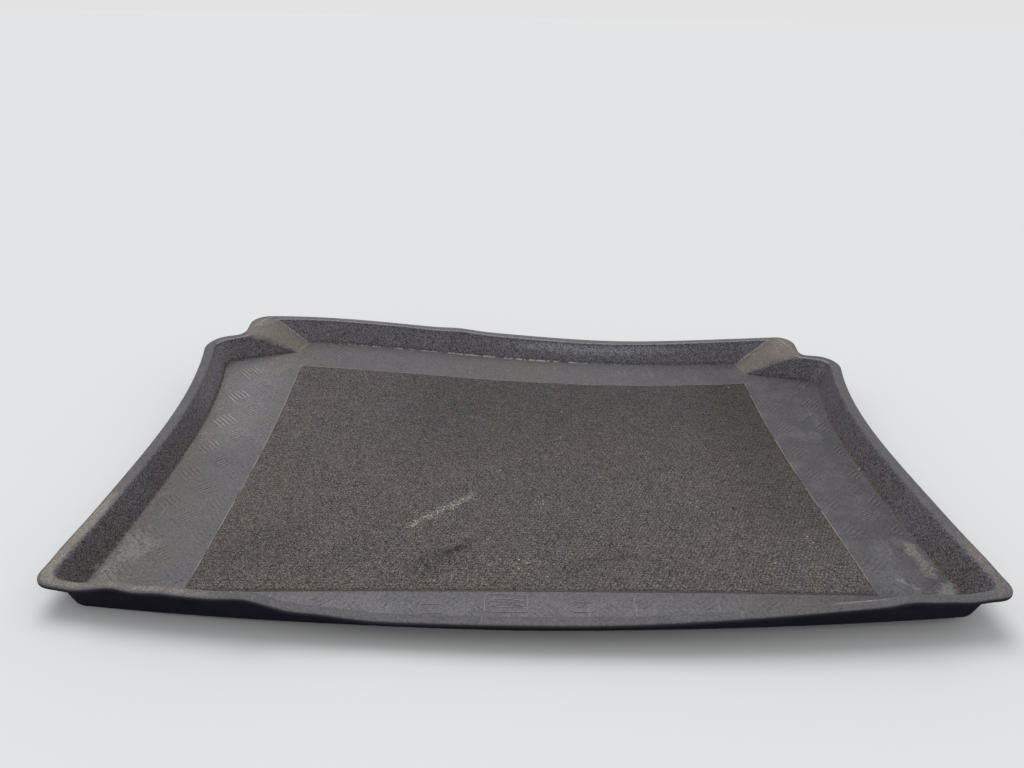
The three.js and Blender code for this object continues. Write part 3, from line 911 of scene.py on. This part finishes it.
# %% Dirt on the mat
PALE_BLOTS = (((-134, -170), (-64, -98), 11, 0.76), ((36, 14), (46, 20), 14, 0.5),
              ((-6, -234), (24, -244), 24, 0.46), ((24, -160), (26, -105), 14, 0.36),
              ((-44, -236), (-36, -238), 13, 0.44), ((-92, -268), (-60, -270), 12, 0.44),
              ((336, -172), (342, -200), 11, 0.48), ((150, -80), (240, -110), 14, 0.28))
BROWN_BLOTS = (((328, -230), (318, -280), 24, 0.66), ((150, 90), (170, 110), 30, 0.3),
               ((-2, -238), (24, -244), 22, 0.62))
DARK_BLOTS = (((-110, -248), (-94, -228), 13, 0.9), ((-86, -222), (-58, -204), 9, 1.1),
              ((-330, -230), (-290, -200), 34, 0.4), ((60, -245), (110, -225), 14, 0.4))

BACK_SHADE, BACK_SHADE_Y, BACK_SHADE_X = 0.24, (-120, 200), (-260, -110)
RIGHT_SHADE, RIGHT_SHADE_X, RIGHT_SHADE_Y = 0.28, (230, 340), (-240, -120)
FRAYED_Y = (-275, -255)

mat_x, mat_y = mat_places[:, 0], mat_places[:, 1]
give_attribute(mat, "pale", blots(mat_x, mat_y, PALE_BLOTS))
give_attribute(mat, "brown", blots(mat_x, mat_y, BROWN_BLOTS))
give_attribute(mat, "dark", blots(mat_x, mat_y, DARK_BLOTS))
back_shade = BACK_SHADE * between(mat_y, *BACK_SHADE_Y) * between(mat_x, *BACK_SHADE_X)
right_shade = RIGHT_SHADE * between(mat_x, *RIGHT_SHADE_X) * between(mat_y, *RIGHT_SHADE_Y)
give_attribute(mat, "shade", (1 - back_shade) * (1 - right_shade))
give_attribute(mat, "cool", 0.5 * back_shade - right_shade)
give_attribute(mat, "frayed", between(mat_y, *FRAYED_Y))
spare = len(mat_places) - mat_top.size // 3
give_attribute(mat, "tip", np.append(tips, np.zeros(spare)))
give_attribute(mat, "edge", np.append(1 - ease(from_edge / MAT_MARGIN), np.ones(spare)))
print("blots", len(PALE_BLOTS) + len(BROWN_BLOTS) + len(DARK_BLOTS))

# %% [markdown]
# A pale level floor reaches almost to the horizon, and the world behind it has
# the floor's own brightness, so no seam shows. A broad sun from above the back
# stands for soft studio light, and the white world fills the shadows.

# %% Stage
FLOOR_REACH = 60000
WORLD_STRENGTH = 0.68
BACKDROP = 0.77
SUN_STRENGTH = 1.3
SUN_WIDTH = 40
SUN_TILT = (-24, -8)
WHITE = (1, 1, 1, 1)

corners = np.array([[-1, -1, 0], [1, -1, 0], [1, 1, 0], [-1, 1, 0]], float) * FLOOR_REACH
stage = new_piece("studio_floor", corners, np.array([[0, 1, 2, 3]]))

sun = bpy.data.lights.new("soft_sun", "SUN")
sun.energy = SUN_STRENGTH
sun.angle = radians(SUN_WIDTH)
sun_lamp = bpy.data.objects.new("soft_sun", sun)
bpy.context.scene.collection.objects.link(sun_lamp)
sun_lamp.rotation_euler = (*map(radians, SUN_TILT), 0)

world = bpy.data.worlds.new("studio")
world.use_nodes = True
sky = world.node_tree
light = sky.nodes["Background"]
light.inputs["Color"].default_value = WHITE
light.inputs["Strength"].default_value = WORLD_STRENGTH
backdrop = sky.nodes.new("ShaderNodeBackground")
backdrop.inputs["Color"].default_value = WHITE
backdrop.inputs["Strength"].default_value = BACKDROP
chooser = sky.nodes.new("ShaderNodeMixShader")
ray = sky.nodes.new("ShaderNodeLightPath")
sky.links.new(ray.outputs["Is Camera Ray"], chooser.inputs[0])
sky.links.new(light.outputs[0], chooser.inputs[1])
sky.links.new(backdrop.outputs[0], chooser.inputs[2])
sky.links.new(chooser.outputs[0], sky.nodes["World Output"].inputs["Surface"])
bpy.context.scene.world = world
bpy.context.scene.view_settings.view_transform = "Standard"

# %% [markdown]
# Materials come last. A few small helpers keep the node code short. A finish is
# built from effects, and each effect is a node group with named sockets:
# moulded grain, loose dust, fine scratches, specks, and salt and pepper.

# %% Node helpers
def display(red, green, blue):
    """A colour as read off a screen, from 0 to 255, turned into linear light."""
    c = np.array([red, green, blue]) / 255
    linear = np.where(c <= 0.04045, c / 12.92, ((c + 0.055) / 1.055) ** 2.4)
    return (*map(float, linear), 1.0)


def add(tree, kind, _links=(), **settings):
    """Adds a node, sets its properties and unlinked inputs, and links the rest."""
    node = tree.nodes.new("ShaderNode" + kind)
    for name, value in settings.items():
        setattr(node, name, value)
    for socket, value in dict(_links).items():
        target = node.inputs[socket]
        if isinstance(value, bpy.types.NodeSocket):
            tree.links.new(value, target)
        else:
            target.default_value = value
    return node


def math(tree, operation, a, b=0.0, clamp=False):
    """One arithmetic step between sockets or numbers."""
    return add(tree, "Math", {0: a, 1: b}, operation=operation, use_clamp=clamp).outputs[0]


def times(tree, a, b):
    """The product of two sockets or numbers."""
    return math(tree, "MULTIPLY", a, b)


def plus(tree, a, b, clamp=False):
    """The sum of two sockets or numbers, held between 0 and 1 if clamped."""
    return math(tree, "ADD", a, b, clamp)


def minus(tree, a, b, clamp=False):
    """The first socket or number less the second, held in the same way."""
    return math(tree, "SUBTRACT", a, b, clamp)


def blend(tree, share, base, over):
    """Mixes two colours by a share. Sockets 6, 7 and 2 are the node's colour ones."""
    return add(tree, "Mix", {"Factor": share, 6: base, 7: over}, data_type="RGBA").outputs[2]


def ramp(tree, value, low, high):
    """Stretches a value so that low becomes 0 and high becomes 1, smoothly."""
    limits = {"Value": value, "From Min": low, "From Max": high}
    return add(tree, "MapRange", limits, interpolation_type="SMOOTHSTEP").outputs["Result"]


def noise(tree, place, scale, detail=3.0, roughness=0.55, distortion=0.0):
    """Fractal noise of about so many lumps to the metre."""
    settings = {"Vector": place, "Scale": scale, "Detail": detail, "Roughness": roughness,
                "Distortion": distortion}
    return add(tree, "TexNoise", settings).outputs["Fac"]


def random_shade(cells):
    """The random shade of each cell of a Voronoi pattern: the red of its colour."""
    tree = cells.id_data
    return add(tree, "SeparateColor", {"Color": cells.outputs["Color"]}).outputs["Red"]


def new_group(name, inputs, outputs):
    """An empty node group with named sockets, and its input and output nodes."""
    tree = bpy.data.node_groups.new(name, "ShaderNodeTree")
    for label, kind, value in inputs:
        socket = tree.interface.new_socket(label, in_out="INPUT", socket_type=kind)
        if value is not None:
            socket.default_value = value
    for label, kind in outputs:
        tree.interface.new_socket(label, in_out="OUTPUT", socket_type=kind)
    return tree, tree.nodes.new("NodeGroupInput").outputs, tree.nodes.new("NodeGroupOutput").inputs


def use_group(tree, group, **values):
    """Places a group in a material; an underscore in a name stands for a space."""
    node = tree.nodes.new("ShaderNodeGroup")
    node.node_tree = group
    for name, value in values.items():
        target = node.inputs[name.replace("_", " ")]
        if isinstance(value, bpy.types.NodeSocket):
            tree.links.new(value, target)
        else:
            target.default_value = value
    return node.outputs


print("helpers ready")

# %% [markdown]
# Moulded grain is the leather-like skin that the tool leaves: small raised
# cells with soft valleys between them, and a finer roughness over both.

# %% Moulded grain
GRAIN_WOBBLE = 0.0015
GRAIN_VALLEY = 0.28
GRAIN_FINE = 1600.0
GRAIN_FINE_SHARE = 0.25


def build_grain():
    """Cell edges from a Voronoi pattern, softened, with fine noise added."""
    tree, given, result = new_group(
        "moulded_grain",
        [("Place", "NodeSocketVector", None), ("Cells per metre", "NodeSocketFloat", 500.0)],
        [("Height", "NodeSocketFloat")])
    wobble = add(tree, "TexNoise", {"Vector": given["Place"], "Scale": 300.0, "Detail": 2.0})
    mixed = {"Fac": GRAIN_WOBBLE, "Color1": given["Place"], "Color2": wobble.outputs["Color"]}
    shifted = add(tree, "MixRGB", mixed, blend_type="ADD").outputs[0]
    cells = add(tree, "TexVoronoi", {"Vector": shifted, "Scale": given["Cells per metre"]},
                feature="DISTANCE_TO_EDGE").outputs["Distance"]
    raised = ramp(tree, cells, 0.0, GRAIN_VALLEY)
    fine = noise(tree, given["Place"], GRAIN_FINE, 2.0)
    height = plus(tree, times(tree, raised, 1 - GRAIN_FINE_SHARE), times(tree, fine, GRAIN_FINE_SHARE))
    tree.links.new(height, result["Height"])
    return tree


grain_group = build_grain()

# %% [markdown]
# Loose dust gathers where a mask says, but never evenly. The mask is weighed
# against two sizes of noise, so a weak mask gives a few flecks and a strong
# one nearly covers.

# %% Loose dust
DUST_LUMPS = 70.0
DUST_FINE = 9.0
DUST_FINE_SHARE = 0.4
DUST_LEVEL = 0.72
DUST_PULL = 0.42
DUST_EDGE = 0.16
DUST_START = 0.25


def build_dust():
    """Noise of two sizes, cut at a level that falls as the mask rises."""
    tree, given, result = new_group(
        "loose_dust",
        [("Place", "NodeSocketVector", None), ("Mask", "NodeSocketFloat", 0.0),
         ("Fleck size", "NodeSocketFloat", 1.0)],
        [("Cover", "NodeSocketFloat")])
    scale = math(tree, "DIVIDE", DUST_LUMPS, given["Fleck size"])
    broad = noise(tree, given["Place"], scale, 5.0, 0.65)
    fine = noise(tree, given["Place"], times(tree, scale, DUST_FINE), 3.0, 0.7)
    both = plus(tree, times(tree, broad, 1 - DUST_FINE_SHARE), times(tree, fine, DUST_FINE_SHARE))
    level = minus(tree, DUST_LEVEL, times(tree, given["Mask"], DUST_PULL))
    cover = ramp(tree, minus(tree, both, level), 0.0, DUST_EDGE)
    soft = times(tree, cover, ramp(tree, given["Mask"], 0.0, DUST_START))
    tree.links.new(soft, result["Cover"])
    return tree


dust_group = build_dust()

# %% [markdown]
# Scratches are noise drawn out along one direction until only thin lines are
# left. Three directions, each cut near its peak, look like years of dragging.

# %% Fine scratches
SCRATCH_TURNS = (0.35, 1.15, 2.4)
SCRATCH_STRETCH = 0.05
SCRATCH_LEVEL = 0.78
SCRATCH_PULL = 0.14
SCRATCH_EDGE = 0.03


def build_scratches():
    """The strongest of three stretched noises, each cut to a thin band."""
    tree, given, result = new_group(
        "fine_scratches",
        [("Place", "NodeSocketVector", None), ("Lines per metre", "NodeSocketFloat", 90.0),
         ("Amount", "NodeSocketFloat", 0.5)],
        [("Lines", "NodeSocketFloat")])
    cut = minus(tree, SCRATCH_LEVEL, times(tree, given["Amount"], SCRATCH_PULL))
    lines = 0.0
    for turn in SCRATCH_TURNS:
        turned = add(tree, "Mapping", {"Vector": given["Place"], "Rotation": (0, 0, turn),
                                       "Scale": (1, SCRATCH_STRETCH, 1)}).outputs[0]
        streaks = noise(tree, turned, given["Lines per metre"], 2.0, 0.5, 0.1)
        one = ramp(tree, minus(tree, streaks, cut), 0.0, SCRATCH_EDGE)
        lines = math(tree, "MAXIMUM", one, lines)
    tree.links.new(lines, result["Lines"])
    return tree


scratch_group = build_scratches()

# %% [markdown]
# Specks are crumbs of dirt and chips of pale dust: the middles of scattered
# cells, of which only a few are lit.

# %% Specks
SPECK_EDGE = 0.04


def build_specks():
    """Small discs round scattered points, kept where the point's own number is high."""
    tree, given, result = new_group(
        "specks",
        [("Place", "NodeSocketVector", None), ("Specks per metre", "NodeSocketFloat", 60.0),
         ("Kept", "NodeSocketFloat", 0.2), ("Size", "NodeSocketFloat", 0.12)],
        [("Dots", "NodeSocketFloat")])
    cells = add(tree, "TexVoronoi", {"Vector": given["Place"], "Scale": given["Specks per metre"]})
    lit = math(tree, "GREATER_THAN", random_shade(cells), minus(tree, 1.0, given["Kept"]))
    near = minus(tree, given["Size"], cells.outputs["Distance"])
    tree.links.new(times(tree, ramp(tree, near, 0.0, SPECK_EDGE), lit), result["Dots"])
    return tree


speck_group = build_specks()

# %% [markdown]
# Dirt in a grained skin looks like salt and pepper: every small cell has its
# own shade. Two sizes of cells, each with one random shade, give an uneven
# tone that goes from 0 to 1.

# %% Salt and pepper
COARSE_SCALE = 0.55


def build_pepper():
    """A weighted mean of the random shades of two cell patterns, the second coarser."""
    tree, given, result = new_group(
        "salt_and_pepper",
        [("Place", "NodeSocketVector", None), ("Cells per metre", "NodeSocketFloat", 450.0),
         ("Coarse share", "NodeSocketFloat", 0.4)],
        [("Tone", "NodeSocketFloat")])
    shades = []
    for share in (1.0, COARSE_SCALE):
        scale = times(tree, given["Cells per metre"], share)
        cells = add(tree, "TexVoronoi", {"Vector": given["Place"], "Scale": scale})
        shades.append(random_shade(cells))
    apart = minus(tree, shades[1], shades[0])
    both = plus(tree, shades[0], times(tree, apart, given["Coarse share"]))
    tree.links.new(both, result["Tone"])
    return tree


pepper_group = build_pepper()
print("groups", [g.name for g in bpy.data.node_groups])

# %% [markdown]
# The tray's plastic was black and has greyed. Its floor is palest, where hands
# and bags have polished it, the grained walls are darker, the lip is worn pale
# and the outside has kept its first colour, painted darker still as shade.
# Over these lie painted light and shade: a painted highlight on the back wall,
# lighter back walls, a painted glint on the tread bars at the left back, and
# painted shade with some grime that darkens the floor to the right. The finish
# numbers stored on the shell choose between these, and noise keeps every border
# uneven.

# %% Tray plastic
FLOOR_GREY = display(96, 94, 98)
FLOOR_BROWN = display(100, 95, 92)
FLOOR_GRIMY_SHADED = display(77, 75, 79)
WALL_GREY = display(91, 88, 96)
WALL_BROWN = display(86, 77, 73)
LIP_GREY = display(89, 87, 91)
FACET_BEIGE = display(116, 109, 103)
PAINTED_SHEEN_AND_POLISH_GREY = display(165, 165, 172)
WORN_AND_GLINT_GREY = display(160, 157, 153)
OUTSIDE_BLACK_AND_SHADE = display(6, 5, 24)
DUST = display(147, 142, 135)
CRUMB = display(206, 200, 190)
GRIME_AND_SHADE_X = (0.1, 0.48)
WALL_SPOTS, WALL_DUST = 0.35, 2.2
RAGGED = 1.2
LIP_SHARE, FACET_SHARE, PAINTED_SHEEN_AND_POLISH_SHARE, WEAR_AND_GLINT_SHARE = 0.9, 0.85, 0.7, 0.8
SCRATCH_SHARE, DUST_SHARE, CHIP_SHARE, CRUMB_SHARE = 0.16, 0.48, 0.85, 0.7
UNSCRATCHED = 0.7
PEPPER, PEPPER_ON_WALL, CLEAN_OUTSIDE = 0.85, 1.1, 0.6
GRAIN, GRAIN_ON_WALL = 0.35, 0.65
TRAY_ROUGHNESS, TRAY_SPECULAR = 0.52, 0.25


def new_material(name):
    """A node material with its Principled shader and the object's own coordinates."""
    material = bpy.data.materials.new(name)
    material.use_nodes = True
    tree = material.node_tree
    place = tree.nodes.new("ShaderNodeTexCoord").outputs["Object"]
    return material, tree, tree.nodes["Principled BSDF"], place


def stored(tree, name):
    """A number stored on the mesh under this name."""
    return add(tree, "Attribute", attribute_name=name).outputs["Fac"]


def multiplied(tree, colour, factor):
    """A colour times a number, socket or not."""
    return add(tree, "VectorMath", {0: colour, 1: factor}, operation="MULTIPLY").outputs[0]


def tray_zones(tree, place, patchy, zone):
    """The colour of the plastic: floor, walls, lip, facets, a painted sheen and the outside, with painted
    shade and grime to the right of the floor and painted shade on the outside.
    """
    broad = noise(tree, place, 5.0, 4.0, 0.6)
    warmth = plus(tree, ramp(tree, broad, 0.44, 0.66), times(tree, zone["dusty"], 0.8), clamp=True)
    colour = blend(tree, warmth, FLOOR_GREY, FLOOR_BROWN)
    # Painted shade with some grime: the floor darkens in patches towards the right, as shade where the light
    # falls off.
    across = add(tree, "SeparateXYZ", {"Vector": place}).outputs["X"]
    grime_and_shade = times(tree, ramp(tree, across, *GRIME_AND_SHADE_X), ramp(tree, patchy, 0.2, 0.55))
    colour = blend(tree, grime_and_shade, colour, FLOOR_GRIMY_SHADED)
    spots = times(tree, ramp(tree, patchy, 0.45, 0.75), WALL_SPOTS)
    tint = plus(tree, spots, times(tree, zone["dusty"], WALL_DUST), clamp=True)
    colour = blend(tree, zone["wall"], colour, blend(tree, tint, WALL_GREY, WALL_BROWN))
    ragged = plus(tree, zone["lip"], times(tree, minus(tree, patchy, 0.5), RAGGED))
    colour = blend(tree, times(tree, ramp(tree, ragged, 0.25, 0.95), LIP_SHARE), colour, LIP_GREY)
    colour = blend(tree, times(tree, zone["facet"], FACET_SHARE), colour, FACET_BEIGE)
    # Painted highlight and light: the sheen on the back wall and the lighter back walls. On the floor the
    # same blend gives the polished patches.
    colour = blend(tree, times(tree, zone["sheen"], PAINTED_SHEEN_AND_POLISH_SHARE), colour, PAINTED_SHEEN_AND_POLISH_GREY)
    # The outside: near-black plastic, painted darker still as the shade it lies in.
    return blend(tree, zone["under"], colour, OUTSIDE_BLACK_AND_SHADE)


def build_tray_plastic():
    """Zones by stored numbers, then wear with a painted glint on the bars, scratches, dust, chips, crumbs
    and pepper.
    """
    material, tree, shader, place = new_material("tray_plastic")
    zone = {name: stored(tree, name) for name in FINISHES}
    wall, under = zone["wall"], zone["under"]
    patchy = noise(tree, place, 28.0, 5.0, 0.65)
    colour = tray_zones(tree, place, patchy, zone)

    # Pale wear, and on the tread bars also a painted glint on the tops.
    rub_and_glint = times(tree, zone["worn"], ramp(tree, patchy, 0.25, 0.5))
    colour = blend(tree, times(tree, rub_and_glint, WEAR_AND_GLINT_SHARE), colour, WORN_AND_GLINT_GREY)
    lines = use_group(tree, scratch_group, Place=place, Lines_per_metre=150.0, Amount=0.5)["Lines"]
    inside = minus(tree, 1.0, under, clamp=True)
    level = times(tree, inside, minus(tree, 1.0, times(tree, wall, UNSCRATCHED)))
    colour = blend(tree, times(tree, times(tree, lines, level), SCRATCH_SHARE), colour, WORN_AND_GLINT_GREY)
    cover = use_group(tree, dust_group, Place=place, Mask=zone["dusty"], Fleck_size=1.1)["Cover"]
    colour = blend(tree, times(tree, cover, DUST_SHARE), colour, DUST)
    flakes = times(tree, zone["chips"], ramp(tree, noise(tree, place, 110.0, 3.0, 0.7), 0.46, 0.56))
    colour = blend(tree, times(tree, flakes, CHIP_SHARE), colour, CRUMB)
    dots = use_group(tree, speck_group, Place=place, Specks_per_metre=45.0, Kept=0.07, Size=0.08)["Dots"]
    colour = blend(tree, times(tree, times(tree, dots, inside), CRUMB_SHARE), colour, CRUMB)

    pepper = use_group(tree, pepper_group, Place=place, Cells_per_metre=950.0, Coarse_share=0.1)["Tone"]
    strength = plus(tree, times(tree, wall, PEPPER_ON_WALL), PEPPER)
    strength = times(tree, strength, minus(tree, 1.0, times(tree, under, CLEAN_OUTSIDE)))
    factor = plus(tree, times(tree, minus(tree, pepper, 0.5), strength), 1.0)
    tree.links.new(multiplied(tree, colour, factor), shader.inputs["Base Color"])

    matt = times(tree, ramp(tree, patchy, 0.3, 0.7), 0.16)
    matt = plus(tree, times(tree, cover, 0.2), matt)
    matt = plus(tree, times(tree, under, 0.3), matt)
    tree.links.new(plus(tree, matt, TRAY_ROUGHNESS, clamp=True), shader.inputs["Roughness"])
    grain = use_group(tree, grain_group, Place=place, Cells_per_metre=520.0)["Height"]
    height = times(tree, grain, plus(tree, times(tree, wall, GRAIN_ON_WALL), GRAIN))
    height = minus(tree, height, times(tree, lines, 0.25))
    bump = add(tree, "Bump", {"Height": height, "Strength": 0.55, "Distance": 0.0006})
    tree.links.new(bump.outputs[0], shader.inputs["Normal"])
    shader.inputs["Specular IOR Level"].default_value = TRAY_SPECULAR
    return material


tray_plastic = build_tray_plastic()
for piece in (tray, bars, marks):
    piece.data.materials.append(tray_plastic)
print("tray plastic nodes", len(tray_plastic.node_tree.nodes))

# %% [markdown]
# The mat is olive-brown rubber. Its pimple tips are greyed by wear and the dirt
# stays between them, which gives the fine salt-and-pepper look. The stored
# blots, a pale broken line along the edge and scattered specks lie over that.
# The sloping flank of the cut edge is painted lighter, as painted light that
# hides the shade it would take.

# %% Mat rubber
RUBBER_OLIVE = display(84, 77, 73)
RUBBER_MAUVE = display(80, 75, 76)
RUBBER_TIP = display(149, 145, 141)
RUBBER_PIT = display(24, 23, 24)
EDGE_PAINTED_LIGHT_GREY = display(116, 113, 114)
EDGE_PALE = display(170, 167, 160)
BROWN_STAIN = display(110, 97, 79)
SCUFF_BLACK = display(34, 32, 33)
MAT_ZONES = ("tip", "edge", "pale", "brown", "dark", "shade", "cool", "frayed")
TIP_SHARE, PIT_SHARE = 0.38, 0.42
STAIN_SHARE, FILM_SHARE, FLECK_SHARE, SCUFF_SHARE = 0.55, 0.5, 0.45, 0.85
MAT_PEPPER = 2.0
LINE_SHARE, MAT_CRUMB_SHARE = 0.9, 0.6
MAT_ROUGHNESS, MAT_SPECULAR = 0.74, 0.3


def mat_dirt(tree, place, colour, zone):
    """The stored blots, each broken up in its own way: stain, film with flecks, and scuffs."""
    stain = use_group(tree, dust_group, Place=place, Mask=zone["brown"], Fleck_size=0.6)["Cover"]
    colour = blend(tree, times(tree, stain, STAIN_SHARE), colour, BROWN_STAIN)
    film = use_group(tree, dust_group, Place=place, Mask=zone["pale"], Fleck_size=0.25)["Cover"]
    colour = blend(tree, times(tree, film, FILM_SHARE), colour, DUST)
    flecks = use_group(tree, speck_group, Place=place, Specks_per_metre=330.0,
                       Kept=ramp(tree, zone["pale"], 0.1, 1.1), Size=0.33)["Dots"]
    colour = blend(tree, times(tree, flecks, FLECK_SHARE), colour, CRUMB)
    cracks = ramp(tree, noise(tree, place, 170.0, 3.0, 0.8, 1.0), 0.46, 0.53)
    return blend(tree, times(tree, times(tree, zone["dark"], cracks), SCUFF_SHARE), colour, SCUFF_BLACK)


def build_mat_rubber():
    """Olive ground, lit tips and dark pits, then blots, pepper, edge line and specks."""
    material, tree, shader, place = new_material("mat_rubber")
    zone = {name: stored(tree, name) for name in MAT_ZONES}
    tip, rim = zone["tip"], zone["edge"]
    broad = noise(tree, place, 4.0, 4.0, 0.6)
    patchy = noise(tree, place, 30.0, 5.0, 0.7)
    pepper = use_group(tree, pepper_group, Place=place, Cells_per_metre=1100.0, Coarse_share=0.0)["Tone"]

    cool = ramp(tree, plus(tree, broad, zone["cool"]), 0.42, 0.66)
    colour = blend(tree, cool, RUBBER_OLIVE, RUBBER_MAUVE)
    worn_tip = times(tree, tip, ramp(tree, pepper, 0.25, 0.75))
    colour = blend(tree, times(tree, worn_tip, TIP_SHARE), colour, RUBBER_TIP)
    pit = times(tree, minus(tree, 1.0, tip), ramp(tree, pepper, 0.55, 0.2))
    colour = blend(tree, times(tree, pit, PIT_SHARE), colour, RUBBER_PIT)
    colour = mat_dirt(tree, place, colour, zone)
    factor = plus(tree, times(tree, minus(tree, pepper, 0.5), MAT_PEPPER), 1.0)
    # Pepper, and painted shade that darkens the sheet towards the back and the right.
    colour = multiplied(tree, colour, times(tree, factor, zone["shade"]))
    # Painted light: the flank at the cut edge is painted lighter, so that its shade does not show.
    colour = blend(tree, ramp(tree, rim, 0.6, 1.0), colour, EDGE_PAINTED_LIGHT_GREY)
    line = times(tree, ramp(tree, rim, 0.3, 0.9), ramp(tree, patchy, 0.38, 0.54))
    colour = blend(tree, times(tree, times(tree, line, zone["frayed"]), LINE_SHARE), colour, EDGE_PALE)
    dots = use_group(tree, speck_group, Place=place, Specks_per_metre=70.0, Kept=0.05, Size=0.1)["Dots"]
    colour = blend(tree, times(tree, dots, MAT_CRUMB_SHARE), colour, CRUMB)
    tree.links.new(colour, shader.inputs["Base Color"])

    matt = times(tree, ramp(tree, patchy, 0.3, 0.7), 0.14)
    tree.links.new(plus(tree, matt, MAT_ROUGHNESS), shader.inputs["Roughness"])
    bump = add(tree, "Bump", {"Height": pepper, "Strength": 0.5, "Distance": 0.0008})
    tree.links.new(bump.outputs[0], shader.inputs["Normal"])
    shader.inputs["Specular IOR Level"].default_value = MAT_SPECULAR
    return material


mat_rubber = build_mat_rubber()
mat.data.materials.append(mat_rubber)
print("mat rubber nodes", len(mat_rubber.node_tree.nodes))

# %% [markdown]
# The stage gets a plain, matt, nearly white paint, so that it takes the soft
# shadow of the tray and adds no colour of its own.

# %% Stage finish
STAGE_FINISH = {"Base Color": display(222, 223, 224), "Roughness": 0.9, "Specular IOR Level": 0.1}

stage_paint, stage_tree, stage_shader, _ = new_material("studio_paint")
for socket, value in STAGE_FINISH.items():
    stage_shader.inputs[socket].default_value = value
stage.data.materials.append(stage_paint)

# %% [markdown]
# The real object has no moving part, so every piece rides on the root body. The
# table's second column names each piece's finish, but the loop gives only the body.

# %% Give each piece its body and place in the model
SLOTS = ((tray, "tray_plastic"), (bars, "tray_plastic"), (marks, "tray_plastic"), (mat, "mat_rubber"))
for piece, slot in SLOTS:
    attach(piece, "root")
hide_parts("liner_tray")
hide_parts("anti_slip_mat")
